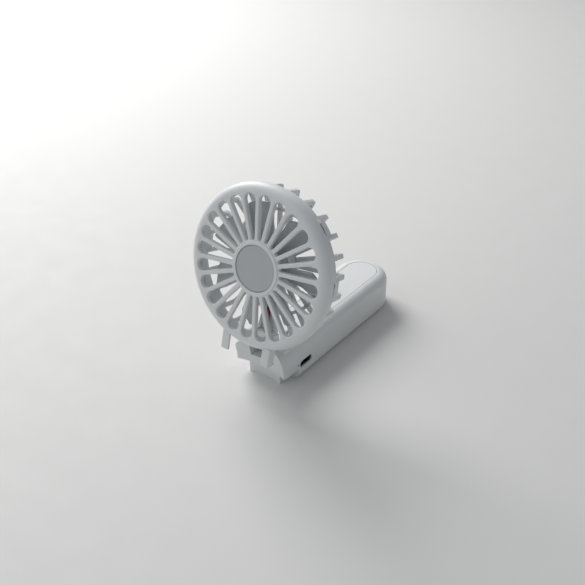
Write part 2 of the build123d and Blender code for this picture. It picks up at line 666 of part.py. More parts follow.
with BuildPart() as armature:
    add(head_tube(CORE_FRONT, CORE_BACK, CORE_RADIUS, SHAFT_RADIUS).part)
    with BuildSketch(head_plane(CORE_BACK)):
        with PolarLocations(POLE_GAP_RADIUS, POLES):
            Rectangle(*POLE_GAP)
    extrude(amount=CORE_BACK - CORE_FRONT, mode=Mode.SUBTRACT)
write(armature, "armature")

commutator = head_tube(CORE_BACK, COMMUTATOR_BACK, COMMUTATOR_RADIUS, SHAFT_RADIUS)
write(commutator, "commutator")

magnet_outer = MOTOR_RADIUS - CAN_WALL
with BuildPart() as motor_magnets:
    for start in (MAGNET_ARC / 2 + 90, MAGNET_ARC / 2 - 90):
        with BuildSketch(radial_plane(start)):
            with Locations(((MAGNET_INNER + magnet_outer) / 2, -(CORE_FRONT + CORE_BACK) / 2)):
                Rectangle(magnet_outer - MAGNET_INNER, CORE_BACK - CORE_FRONT + 2 * MAGNET_OVERHANG)
        revolve(axis=HEAD_AXIS, revolution_arc=MAGNET_ARC)
write(motor_magnets, "motor_magnets")

TERMINAL_X = 2.2
TERMINAL_Y = -5.4
TERMINAL_SIZE = (0.5, 1.8)
TERMINAL_HEIGHT = 1.2
with BuildPart() as motor_terminals:
    with BuildSketch(head_plane(MOTOR_BACK + TERMINAL_HEIGHT)):
        with Locations((-TERMINAL_X, TERMINAL_Y), (TERMINAL_X, TERMINAL_Y)):
            Rectangle(*TERMINAL_SIZE)
    extrude(amount=TERMINAL_HEIGHT)
write(motor_terminals, "motor_terminals")

# ---------------------------------------------------------------- wires
# Two motor leads run down the channel, into the neck and along the hollow pin;
# two handle leads carry on from the pin to the board.
JOINT_X = 7.4
JOINT_RISE = 0.5
BEND_SHARE = 0.45


def wire_tube(points, radius):
    """Round wire along straight runs joined by tangent arcs as large as the runs allow."""
    vectors = [Vector(*point) for point in points]
    radii = []
    for before, corner, after in zip(vectors, vectors[1:], vectors[2:]):
        turn = radians((corner - before).get_angle(after - corner))
        shorter = min((corner - before).length, (after - corner).length)
        radii.append(BEND_SHARE * shorter / tan(turn / 2))
    print("wire radii", [round(value, 1) for value in radii])
    with BuildPart() as tube:
        with BuildLine():
            route = FilletPolyline(*vectors, radius=radii)
        with BuildSketch(Plane(origin=route @ 0, z_dir=route % 0)):
            Circle(radius)
        sweep()
    expected = route.length * pi * radius**2
    print("wire length", round(route.length, 1), "volume ratio", round(tube.part.volume / expected, 3))
    return tube


def motor_wire_route(side):
    """From a motor terminal to the middle of the hollow pin."""
    return (
        head_point(side * 1.5, TERMINAL_Y - 1.5, WIRE_DEPTH),
        head_point(side * 1.0, -9.5, WIRE_DEPTH),
        head_point(side * WIRE_OFFSET, -16.0, WIRE_DEPTH - 0.1),
        head_point(side * WIRE_OFFSET, -25.0, WIRE_DEPTH),
        head_point(side * WIRE_OFFSET, -33.0, WIRE_DEPTH),
        head_point(side * WIRE_OFFSET, -37.6, 17.4),
        head_point(0.4 + side * WIRE_OFFSET, -HINGE_DROP + side * JOINT_RISE, HINGE_DEPTH - 0.1),
        head_point(JOINT_X, -HINGE_DROP + side * JOINT_RISE, HINGE_DEPTH),
    )


motor_wire_red = wire_tube(motor_wire_route(1), WIRE_RADIUS)
write(motor_wire_red, "motor_wire_red")

motor_wire_black = wire_tube(motor_wire_route(-1), WIRE_RADIUS)
write(motor_wire_black, "motor_wire_black")


def handle_wire_route(side):
    """From the middle of the hollow pin to the circuit board."""
    joint = HINGE_POINT + ACROSS * JOINT_X + UP * side * JOINT_RISE
    turn_x = WIRE_TURN_X + side * WIRE_OFFSET
    return (
        joint,
        Vector(turn_x, joint.Y, joint.Z),
        Vector(turn_x, -39.6, 16.0 + side * 0.1),
        Vector(turn_x - 0.5, -34.6, 13.2),
        Vector(5.0 + side * 0.8, -28.6, 12.4),
        Vector(1.0 + side * 0.8, -23.0, 10.6),
        Vector(1.0 + side * 0.8, -22.4, BOARD_TOP + 0.05),
    )


handle_wire_red = wire_tube(handle_wire_route(1), WIRE_RADIUS)
write(handle_wire_red, "handle_wire_red")

handle_wire_black = wire_tube(handle_wire_route(-1), WIRE_RADIUS)
write(handle_wire_black, "handle_wire_black")

# ---------------------------------------------------------------- hinge pins and washers
with BuildPart() as hinge_pin_hollow:
    with BuildSketch(Plane.YZ.offset(HOLLOW_PIN_INNER_X)):
        with Locations((HINGE_Y, HINGE_Z)):
            Circle(PIN_RADIUS)
            Circle(PIN_BORE, mode=Mode.SUBTRACT)
    extrude(amount=HOLLOW_PIN_OUTER_X - HOLLOW_PIN_INNER_X)
write(hinge_pin_hollow, "hinge_pin_hollow")

with BuildPart() as hinge_pin_solid:
    with BuildSketch(Plane.YZ.offset(-PIN_OUTER_X)):
        with Locations((HINGE_Y, HINGE_Z)):
            Circle(PIN_RADIUS)
    extrude(amount=PIN_OUTER_X - PIN_INNER_X)
write(hinge_pin_solid, "hinge_pin_solid")

WASHER_RADIUS = 3.2
WASHER_PLAY = 0.05
WASHER_THICKNESS = 0.35
with BuildPart() as hinge_washers:
    for side in (-1, 1):
        with BuildSketch(Plane.YZ.offset(side * (NECK_HALF_WIDTH + WASHER_PLAY))):
            with Locations((HINGE_Y, HINGE_Z)):
                Circle(WASHER_RADIUS)
                Circle(PIN_RADIUS, mode=Mode.SUBTRACT)
        extrude(amount=side * WASHER_THICKNESS)
write(hinge_washers, "hinge_washers")

# ---------------------------------------------------------------- circuit board and its parts
BOARD_FRONT_Y = -43.2
BOARD_STEP_Y = -37.1
BOARD_BACK_Y = -9.5
BOARD_HALF = 11.1
BOARD_OVERLAP = 1.0
BOARD_PLAY = 0.3
BOSS_PLAY = 0.2
with BuildPart() as circuit_board:
    with BuildSketch(Plane.XY.offset(BOARD_TOP - BOARD_THICKNESS)):
        with Locations((0, (BOARD_STEP_Y + BOARD_BACK_Y) / 2)):
            Rectangle(2 * BOARD_HALF, BOARD_BACK_Y - BOARD_STEP_Y)
        with Locations((0, (BOARD_FRONT_Y + BOARD_STEP_Y + BOARD_OVERLAP) / 2)):
            Rectangle(
                2 * (NOSE_CAVITY_HALF_WIDTH - BOARD_PLAY),
                BOARD_STEP_Y + BOARD_OVERLAP - BOARD_FRONT_Y,
            )
        with Locations((-BOSS_X, BOSS_Y), (BOSS_X, BOSS_Y)):
            Circle(BOSS_RADIUS + BOSS_PLAY, mode=Mode.SUBTRACT)
    extrude(amount=BOARD_THICKNESS)
write(circuit_board, "circuit_board")

USB_INNER_X = 6.4
USB_OUTER_X = 13.3
USB_METAL = 0.3
USB_BACK_WALL = 1.0
USB_TONGUE = (6.7, 0.7)
USB_TONGUE_LENGTH = 4.9
with BuildPart() as usb_receptacle_shell:
    with BuildSketch(Plane.YZ.offset(USB_INNER_X)):
        with Locations((USB_Y, USB_Z)):
            SlotOverall(USB_WIDTH, USB_HEIGHT)
    extrude(amount=USB_OUTER_X - USB_INNER_X)
    with BuildSketch(Plane.YZ.offset(USB_INNER_X + USB_BACK_WALL)):
        with Locations((USB_Y, USB_Z)):
            SlotOverall(USB_WIDTH - 2 * USB_METAL, USB_HEIGHT - 2 * USB_METAL)
    extrude(amount=USB_OUTER_X - USB_INNER_X, mode=Mode.SUBTRACT)
write(usb_receptacle_shell, "usb_receptacle_shell")

with BuildPart() as usb_receptacle_tongue:
    with BuildSketch(Plane.YZ.offset(USB_INNER_X + USB_BACK_WALL)):
        with Locations((USB_Y, USB_Z)):
            Rectangle(*USB_TONGUE)
    extrude(amount=USB_TONGUE_LENGTH)
write(usb_receptacle_tongue, "usb_receptacle_tongue")

LED_X = 6.3
LED_SIZE = (1.2, 2.0)
LED_TOP = 9.0
PIPE_START = 0.4
PIPE_SUNK = 0.1
with BuildPart() as status_led:
    with BuildSketch(Plane.XY.offset(BOARD_TOP)):
        with Locations((LED_X, LED_Y)):
            Rectangle(*LED_SIZE)
    extrude(amount=LED_TOP - BOARD_TOP)
write(status_led, "status_led")

with BuildPart() as light_pipe:
    with BuildSketch(Plane.YZ.offset(NOSE_CAVITY_HALF_WIDTH - PIPE_START)):
        with Locations((LED_Y, LED_Z)):
            Circle(LIGHT_PIPE_RADIUS)
    extrude(amount=HALF_WIDTH - PIPE_SUNK - NOSE_CAVITY_HALF_WIDTH + PIPE_START)
write(light_pipe, "light_pipe")

CHIP_PLACE = (-3.0, -15.5)
CHIP_SIZE = (5.0, 5.0)
CHIP_HEIGHT = 1.1
with BuildPart() as control_chip:
    with BuildSketch(Plane.XY.offset(BOARD_TOP)):
        with Locations(CHIP_PLACE):
            Rectangle(*CHIP_SIZE)
    extrude(amount=CHIP_HEIGHT)
write(control_chip, "control_chip")

SWITCH_FACE_X = -10.9
SWITCH_SIZE = (3.4, 6.0)
SWITCH_HEIGHT = 4.6
STEM_RADIUS = 1.1
STEM_LENGTH = 0.2
with BuildPart() as tact_switch:
    with BuildSketch(Plane.XY.offset(BOARD_TOP)):
        with Locations((SWITCH_FACE_X + SWITCH_SIZE[0] / 2, BUTTON_Y)):
            Rectangle(*SWITCH_SIZE)
    extrude(amount=SWITCH_HEIGHT)
    with BuildSketch(Plane.YZ.offset(SWITCH_FACE_X)):
        with Locations((BUTTON_Y, BUTTON_Z)):
            Circle(STEM_RADIUS)
    extrude(amount=-STEM_LENGTH)
write(tact_switch, "tact_switch")

# ---------------------------------------------------------------- power button
FLANGE_PLAY = 0.08
FLANGE_FACE_X = -CAVITY_HALF + FLANGE_PLAY
FLANGE_THICKNESS = 0.5
FLANGE_RIM = (1.6, 1.4)
BUTTON_ROUND = 0.4
with BuildPart() as power_button:
    with BuildSketch(Plane.YZ.offset(FLANGE_FACE_X)):
        with Locations((BUTTON_Y, BUTTON_Z)):
            SlotOverall(BUTTON_LENGTH, BUTTON_WIDTH)
    extrude(amount=-(HALF_WIDTH + BUTTON_PROUD + FLANGE_FACE_X))
    fillet(power_button.edges().group_by(Axis.X)[0], BUTTON_ROUND)
    with BuildSketch(Plane.YZ.offset(FLANGE_FACE_X)):
        with Locations((BUTTON_Y, BUTTON_Z)):
            SlotOverall(BUTTON_LENGTH + FLANGE_RIM[0], BUTTON_WIDTH + FLANGE_RIM[1])
    extrude(amount=FLANGE_THICKNESS)
write(power_button, "power_button")

# ---------------------------------------------------------------- battery
with BuildPart() as battery_cell:
    with BuildSketch(Plane.XY.offset(BATTERY_BOTTOM)):
        with Locations((0, BATTERY_Y)):
            RectangleRounded(BATTERY_SIZE[0], BATTERY_SIZE[1], BATTERY_ROUND)
    extrude(amount=BATTERY_SIZE[2])
    fillet(battery_cell.edges().group_by(Axis.Z)[-1], BATTERY_EDGE)
write(battery_cell, "battery_cell")

with BuildPart() as battery_foam_pad:
    with BuildSketch(Plane.XY.offset(SHELL_WALL)):
        with Locations((0, BATTERY_Y)):
            RectangleRounded(
                BATTERY_SIZE[0] - 2 * FOAM_INSET,
                BATTERY_SIZE[1] - 2 * FOAM_INSET,
                FOAM_ROUND,
            )
    extrude(amount=BATTERY_BOTTOM - SHELL_WALL)
write(battery_foam_pad, "battery_foam_pad")
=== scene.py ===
import json
from math import atan2, cos, pi, radians, sin, sqrt, tan

import bmesh
import bpy
from bpy.props import FloatProperty, FloatVectorProperty, IntProperty, PointerProperty
from mathutils import Matrix, Vector


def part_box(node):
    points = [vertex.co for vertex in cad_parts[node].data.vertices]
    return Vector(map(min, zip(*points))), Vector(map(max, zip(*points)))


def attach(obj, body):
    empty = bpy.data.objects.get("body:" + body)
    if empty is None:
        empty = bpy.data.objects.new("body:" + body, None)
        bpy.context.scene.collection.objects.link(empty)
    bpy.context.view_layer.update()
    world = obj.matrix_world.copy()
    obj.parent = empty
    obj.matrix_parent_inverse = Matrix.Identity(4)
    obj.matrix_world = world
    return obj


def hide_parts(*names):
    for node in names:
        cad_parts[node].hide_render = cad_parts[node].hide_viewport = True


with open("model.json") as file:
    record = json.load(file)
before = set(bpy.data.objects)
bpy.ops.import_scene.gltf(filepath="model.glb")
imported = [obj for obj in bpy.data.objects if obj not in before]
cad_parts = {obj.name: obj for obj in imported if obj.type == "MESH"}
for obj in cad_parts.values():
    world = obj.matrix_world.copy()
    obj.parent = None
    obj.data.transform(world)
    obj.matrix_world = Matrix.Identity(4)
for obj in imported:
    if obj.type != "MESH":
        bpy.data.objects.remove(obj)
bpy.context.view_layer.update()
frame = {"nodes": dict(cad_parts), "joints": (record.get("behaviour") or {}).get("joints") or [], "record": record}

bl_info = {
    "name": "Folding handheld fan",
    "version": (1, 0, 0),
    "blender": (4, 5, 0),
    "location": "View3D > Sidebar > Fan",
    "description": "Builds the finished surfaces of a folding handheld fan around its packed model",
    "category": "Object",
}

# Lengths are in metres, and the sizes below are given in millimetres.
MM = 0.001
WELD = 1e-6

# ---------------------------------------------------------------- the frame's own places
NODES = frame["nodes"]
JOINTS = {joint["name"]: joint for joint in frame["joints"]}
SLOT_OF = {row["node"]: row["material_slot"] for row in frame["record"]["subparts"]}
FRONT = Vector(JOINTS["fan_spin"]["axis"]).normalized()
ACROSS = Vector(JOINTS["head_tilt"]["axis"])
UP = FRONT.cross(ACROSS)
HEAD_CENTRE = Vector(JOINTS["fan_spin"]["pos_m"])
HINGE_POINT = Vector(JOINTS["head_tilt"]["pos_m"])
# In the head's own frame X is across, Y is up the head and Z points out of its front.
HEAD = Matrix((ACROSS, UP, FRONT)).transposed().to_4x4()
HEAD.translation = HEAD_CENTRE
HINGE_IN_HEAD = HEAD.inverted() @ HINGE_POINT

# ---------------------------------------------------------------- sizes
HEAD_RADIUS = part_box("front_grille")[1].x
STEPS = 144
BEZEL_ROLL = 4.0 * MM
BEZEL_DEPTH = 5.4 * MM
BEZEL_INNER = 35.9 * MM
BEZEL_SKIRT = 4.0 * MM
FACE_THICKNESS = 2.4 * MM
SLOT_OUTER = 33.2 * MM
SLOT_INNER = 12.9 * MM
SLOT_END_ROUND = 2.7 * MM
SLOT_ROOT_ROUND = 0.55 * MM
RIM_OUTER = 12.3 * MM
RIM_RISE = 0.5 * MM
BADGE_RADIUS = 10.4 * MM
BADGE_RECESS = 10.65 * MM
BADGE_SEAT = 1.15 * MM
TONGUE_INNER = 9.4 * MM
TONGUE_OUTER = 13.7 * MM
TONGUE_WALL = 1.3 * MM
TONGUE_FRONT = 0.9 * MM
TONGUE_BACK = 5.3 * MM
TONGUE_ROOT = 34.6 * MM
TONGUE_REACH = 43.4 * MM
TONGUE_HEEL = 2.4 * MM
TONGUE_CORNER = 0.7 * MM

REAR_WALL_INNER = 34.4 * MM
REAR_WALL_OUTER = 36.4 * MM
REAR_WALL_DEPTH = 8.8 * MM
LIP_FRONT = 4.1 * MM
LIP_OUTER = 35.7 * MM
REAR_DEPTH = 17.8 * MM
RIB_THICKNESS = 1.6 * MM
RIB_WIDTH = 2.2 * MM
RIB_CORNER = 35.2 * MM
RIB_ROOT = 0.8 * MM
HOOP_RADIUS = 24.0 * MM
HOOP_WIDTH = 1.6 * MM
WINDOW_ANGLES = (45, 90, 135, 225, 270, 315)
WINDOW_DEPTH = 12.0 * MM
WINDOW_INNER = 34.5 * MM
WINDOW_OUTER = 36.1 * MM
SLIT_FRONT = 6.9 * MM
SLIT_BACK = 7.9 * MM
SLIT_DEPTH = 1.5 * MM
SLIT_HALF_ANGLE = radians(5.2)
SEAT_OUTER = 10.2 * MM
SEAT_INNER = 8.7 * MM
SEAT_SHOULDER = 7.2 * MM
SEAT_FRONT = 11.0 * MM
MOTOR_BACK = 14.8 * MM
REAR_HOLE = 2.6 * MM
CHANNEL_WIDTH = 5.6 * MM
NECK_HALF = 6.4 * MM
NECK_ROOT = 34.0 * MM
KNUCKLE_RADIUS = 3.6 * MM
PIN_CLEAR_RADIUS = 1.65 * MM

HUB_RADIUS = 10.4 * MM
HUB_FRONT = 3.4 * MM
HUB_BACK = 10.2 * MM
HUB_WALL = 1.0 * MM
HUB_FLOOR = 1.3 * MM
HUB_NOSE = 1.4 * MM
SHAFT_RADIUS = 0.75 * MM
BLADE_ROOT = 9.9 * MM
BLADE_TIP = 28.6 * MM
BLADE_DEPTH = 7.2 * MM
BLADE_PHASE = radians(36.0)
BLADE_TIP_ROUND = 2.4 * MM
BLADE_CAMBER = 0.7 * MM

HANDLE_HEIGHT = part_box("top_panel")[1].z
REAR_CENTRE_Y = 33.65 * MM
PANEL_HALF = 8.4 * MM
PANEL_FRONT_Y = -36.8 * MM
PANEL_THICKNESS = 0.85 * MM
LOCATING_RIB = (5.0 * MM, 1.6 * MM, 2.1 * MM)
LOCATING_RIB_Y = 39.45 * MM
SCREW_X = 3.6 * MM
SCREW_Y = -32.8 * MM
SCREW_RADIUS = 0.95 * MM
SCREW_HEAD_RADIUS = 1.8 * MM
SCREW_SINK = 0.9 * MM
PAD_RADIUS = 2.9 * MM
PAD_DROP = 1.14 * MM
# The rib and the pads start this far inside the plate, so that they join it.
JOIN_OVERLAP = 0.2 * MM
SHELL_SOFTENING = 0.25 * MM


# ---------------------------------------------------------------- mesh helpers
def polar(angle, radius, z=0.0):
    """Point in the head's frame, clockwise from the top as seen from the front."""
    return Vector((radius * sin(angle), radius * cos(angle), z))


def rounded_path(points, radii, steps=4):
    """Points of a path whose inner corners are arcs; one radius for each corner, 0 for a sharp one."""
    path = [Vector(points[0])]
    for before, corner, after, radius in zip(points, points[1:], points[2:], radii):
        before, corner, after = Vector(before), Vector(corner), Vector(after)
        if radius == 0:
            path.append(corner)
            continue
        back = (before - corner).normalized()
        on = (after - corner).normalized()
        half = back.angle(on) / 2
        centre = corner + (back + on).normalized() * radius / sin(half)
        start = corner + back * radius / tan(half) - centre
        end = corner + on * radius / tan(half) - centre
        sweep = start.angle(end)
        for step in range(steps + 1):
            share = step / steps
            turned = start * sin((1 - share) * sweep) + end * sin(share * sweep)
            path.append(centre + turned / sin(sweep))
    path.append(Vector(points[-1]))
    return path


def spin_profile(bm, profile, steps=STEPS, closed=False, angle=2 * pi, start=0.0):
    """Turn a profile of (radius, z) points about Z, and return the new vertices."""
    verts = [bm.verts.new(polar(start, radius, z)) for radius, z in profile]
    pairs = list(zip(verts, verts[1:]))
    if closed:
        pairs.append((verts[-1], verts[0]))
    edges = [bm.edges.new(pair) for pair in pairs]
    before = set(bm.verts)
    full = abs(angle - 2 * pi) < WELD
    spun = bmesh.ops.spin(
        bm, geom=verts + edges, cent=(0, 0, 0), axis=(0, 0, -1), angle=angle,
        steps=steps, use_merge=full, use_duplicate=False,
    )
    if closed and not full:
        last = [item for item in spun["geom_last"] if isinstance(item, bmesh.types.BMEdge)]
        for loop in (edges, last):
            bmesh.ops.contextual_create(bm, geom=loop)
    return verts + [vert for vert in bm.verts if vert not in before]


def extrude_outline(bm, points, offset):
    """Solid made by pushing a closed outline along an offset; returns its new faces."""
    face = bm.faces.new([bm.verts.new(point) for point in points])
    before = set(bm.faces) - {face}
    pushed = bmesh.ops.extrude_face_region(bm, geom=[face])
    moved = [item for item in pushed["geom"] if isinstance(item, bmesh.types.BMVert)]
    bmesh.ops.translate(bm, verts=moved, vec=offset)
    return [item for item in bm.faces if item not in before]


def round_edges(bm, edges, radius, segments=3, loop_slide=False):
    """Round some edges to a radius."""
    bm.edges.index_update()
    return bmesh.ops.bevel(
        bm, geom=edges, offset=radius, offset_type="OFFSET", segments=segments,
        profile=0.5, affect="EDGES", material=-1, clamp_overlap=True, loop_slide=loop_slide,
    )


def sharp_edges(bm, edges, angle=radians(25)):
    """The edges whose two faces meet at more than an angle."""
    return [
        edge for edge in edges
        if len(edge.link_faces) == 2 and edge.calc_face_angle(0) > angle
    ]


def polar_copies(bm, geometry, count):
    """Repeat some geometry evenly round Z."""
    bmesh.ops.spin(
        bm, geom=geometry, cent=(0, 0, 0), axis=(0, 0, -1),
        angle=2 * pi * (count - 1) / count, steps=count - 1,
        use_merge=False, use_duplicate=True,
    )


def merge_into(bm, part, matrix=None):
    """Add one bmesh to another, moved by a matrix, and free it."""
    if matrix is not None:
        bmesh.ops.transform(part, matrix=matrix, verts=part.verts)
    mesh = bpy.data.meshes.new("part")
    part.to_mesh(mesh)
    part.free()
    bm.from_mesh(mesh)
    bpy.data.meshes.remove(mesh)


def finish_piece(name, bm, matrix, material, body, replaced, smooth=radians(32)):
    """Turn a bmesh into a finished object at the origin that rides on a body."""
    bmesh.ops.transform(bm, matrix=matrix, verts=bm.verts)
    bmesh.ops.remove_doubles(bm, verts=bm.verts, dist=WELD)
    bmesh.ops.dissolve_degenerate(bm, dist=WELD / 10, edges=bm.edges)
    bmesh.ops.recalc_face_normals(bm, faces=bm.faces)
    mesh = bpy.data.meshes.new(name)
    bm.to_mesh(mesh)
    bm.free()
    mesh.shade_smooth()
    mesh.set_sharp_from_angle(angle=smooth)
    mesh.materials.append(material)
    piece = bpy.data.objects.new(name, mesh)
    bpy.context.scene.collection.objects.link(piece)
    shading = piece.modifiers.new("face_weighted_shading", "WEIGHTED_NORMAL")
    shading.keep_sharp = True
    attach(piece, body)
    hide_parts(*replaced)
    return piece


# ---------------------------------------------------------------- materials
def linear(colour):
    """An sRGB hex colour as linear RGBA."""
    channels = [int(colour[i:i + 2], 16) / 255 for i in (1, 3, 5)]
    return [c / 12.92 if c <= 0.04045 else ((c + 0.055) / 1.055) ** 2.4 for c in channels] + [1.0]


def shade(colour, factor):
    """A linear colour made lighter or darker."""
    return [channel * factor for channel in colour[:3]] + [1.0]


def add_node(tree, kind, inputs=None, **settings):
    """Add a node with its settings; an input is a value or another node's output."""
    node = tree.nodes.new(kind)
    for key, value in settings.items():
        setattr(node, key, value)
    for key, value in (inputs or {}).items():
        if isinstance(value, bpy.types.NodeSocket):
            tree.links.new(value, node.inputs[key])
        else:
            node.inputs[key].default_value = value
    return node


def new_material(name):
    """An empty node material and its tree."""
    material = bpy.data.materials.new(name)
    material.use_nodes = True
    material.node_tree.nodes.clear()
    return material, material.node_tree


def moulded_plastic(
    name, colour, roughness, grain_mm, grain_depth_mm, shift=0.03, ior=1.53, glow=0.0
):
    """Injection-moulded plastic: spark-eroded grain, faint flow clouds and handling polish."""
    material, tree = new_material(name)
    place = add_node(tree, "ShaderNodeTexCoord").outputs["Object"]
    clouds = add_node(
        tree, "ShaderNodeTexNoise",
        {"Vector": place, "Scale": 1 / (14 * MM), "Detail": 2.0, "Roughness": 0.5},
    )
    grain = add_node(
        tree, "ShaderNodeTexNoise",
        {"Vector": place, "Scale": 1 / (grain_mm * MM), "Detail": 3.0, "Roughness": 0.6},
    )
    tint = add_node(
        tree, "ShaderNodeMix",
        {"Factor": clouds.outputs["Fac"], 6: shade(colour, 1 - shift), 7: shade(colour, 1 + shift)},
        data_type="RGBA",
    )
    polish = add_node(
        tree, "ShaderNodeMapRange",
        {"Value": clouds.outputs["Fac"], "From Min": 0.3, "From Max": 0.7,
         "To Min": roughness - 0.05, "To Max": roughness + 0.05},
    )
    bump = add_node(
        tree, "ShaderNodeBump",
        {"Height": grain.outputs["Fac"], "Strength": 0.5, "Distance": grain_depth_mm * MM},
    )
    shader = add_node(
        tree, "ShaderNodeBsdfPrincipled",
        {"Base Color": tint.outputs[2], "Roughness": polish.outputs["Result"],
         "IOR": ior, "Normal": bump.outputs["Normal"]},
    )
    if glow:
        shader.inputs["Subsurface Weight"].default_value = glow
        shader.inputs["Subsurface Radius"].default_value = (1.0, 0.95, 0.9)
        shader.inputs["Subsurface Scale"].default_value = 1.2 * MM
    add_node(tree, "ShaderNodeOutputMaterial", {"Surface": shader.outputs["BSDF"]})
    return material


def machined_metal(name, colour, roughness, line_mm):
    """Turned or drawn metal: fine lines along X that spread the highlight."""
    material, tree = new_material(name)
    place = add_node(tree, "ShaderNodeTexCoord").outputs["Object"]
    stretch = add_node(tree, "ShaderNodeMapping", {"Vector": place, "Scale": (0.05, 1.0, 1.0)})
    lines = add_node(
        tree, "ShaderNodeTexNoise",
        {"Vector": stretch.outputs["Vector"], "Scale": 1 / (line_mm * MM), "Detail": 2.0},
    )
    tint = add_node(
        tree, "ShaderNodeMix",
        {"Factor": lines.outputs["Fac"], 6: shade(colour, 0.88), 7: colour},
        data_type="RGBA",
    )
    rough = add_node(
        tree, "ShaderNodeMapRange",
        {"Value": lines.outputs["Fac"], "To Min": roughness - 0.06, "To Max": roughness + 0.08},
    )
    bump = add_node(
        tree, "ShaderNodeBump",
        {"Height": lines.outputs["Fac"], "Strength": 0.3, "Distance": 0.01 * MM},
    )
    shader = add_node(
        tree, "ShaderNodeBsdfPrincipled",
        {"Base Color": tint.outputs[2], "Metallic": 1.0, "Roughness": rough.outputs["Result"],
         "Normal": bump.outputs["Normal"]},
    )
    add_node(tree, "ShaderNodeOutputMaterial", {"Surface": shader.outputs["BSDF"]})
    return material


def clear_plastic(name, colour):
    """Clear moulded acrylic with a faint haze."""
    material, tree = new_material(name)
    place = add_node(tree, "ShaderNodeTexCoord").outputs["Object"]
    haze = add_node(tree, "ShaderNodeTexNoise", {"Vector": place, "Scale": 1 / (0.4 * MM)})
    rough = add_node(
        tree, "ShaderNodeMapRange",
        {"Value": haze.outputs["Fac"], "To Min": 0.12, "To Max": 0.3},
    )
    shader = add_node(
        tree, "ShaderNodeBsdfPrincipled",
        {"Base Color": colour, "Roughness": rough.outputs["Result"], "IOR": 1.49,
         "Transmission Weight": 0.7},
    )
    add_node(tree, "ShaderNodeOutputMaterial", {"Surface": shader.outputs["BSDF"]})
    return material


def make_materials(colours):
    """Every material, by the record's slot name: its maker, its colour and the maker's numbers."""
    body = linear(colours["body"])
    return {
        # Matt ABS with a fine eroded grain: a soft, slightly cool light grey with no sharp glare.
        "shell_plastic": moulded_plastic("moulded_abs_handle", body, 0.46, 0.28, 0.012, glow=0.12),
        "panel_plastic": moulded_plastic("moulded_abs_panel", shade(body, 1.02), 0.50, 0.28, 0.012, glow=0.1),
        # Same ABS, a little smoother on the grilles, so that their rounded edges catch the light.
        "grille_plastic": moulded_plastic("moulded_abs_grille", body, 0.42, 0.28, 0.009, glow=0.2),
        # Darker matt disc: the eye reads it as a plain printed plate.
        "badge_plastic": moulded_plastic("matt_abs_badge", linear(colours["badge"]), 0.55, 0.22, 0.010),
        "impeller_plastic": moulded_plastic("moulded_abs_blades", linear(colours["blades"]), 0.38, 0.3, 0.006),
        "button_plastic": moulded_plastic("satin_abs_button", body, 0.40, 0.28, 0.006),
        "motor_cap_plastic": moulded_plastic("moulded_nylon_cap", linear("#26272B"), 0.45, 0.3, 0.006),
        "washer_plastic": moulded_plastic("natural_acetal", linear("#E4E3DC"), 0.35, 0.3, 0.004, ior=1.48),
        "board_laminate": moulded_plastic("glass_epoxy_laminate", linear("#1F5A38"), 0.30, 0.5, 0.008, 0.12),
        "chip_black": moulded_plastic("moulded_epoxy_black", linear("#141416"), 0.50, 0.2, 0.006),
        "wire_red": moulded_plastic("soft_pvc_red", linear("#B01030"), 0.42, 0.4, 0.004, 0.05),
        "wire_black": moulded_plastic("soft_pvc_black", linear("#15161F"), 0.42, 0.4, 0.004, 0.05),
        "foam": moulded_plastic("open_cell_foam", linear("#1C1C1C"), 0.90, 0.35, 0.15, 0.2),
        "magnet": moulded_plastic("sintered_ferrite", linear("#2A2A2C"), 0.60, 0.12, 0.01, 0.08),
        # Metals: the colour is the whole reflection, spread by drawing and turning lines.
        "steel": machined_metal("turned_steel", linear("#B9BBC0"), 0.28, 0.12),
        "connector_steel": machined_metal("drawn_stainless", linear("#A9ABAF"), 0.26, 0.10),
        "brass": machined_metal("turned_brass", linear("#C9A35A"), 0.30, 0.10),
        "battery_foil": machined_metal("laminated_foil", linear("#B4B6BA"), 0.36, 0.6),
        "clear_plastic": clear_plastic("clear_acrylic", linear("#DDE6EA")),
    }


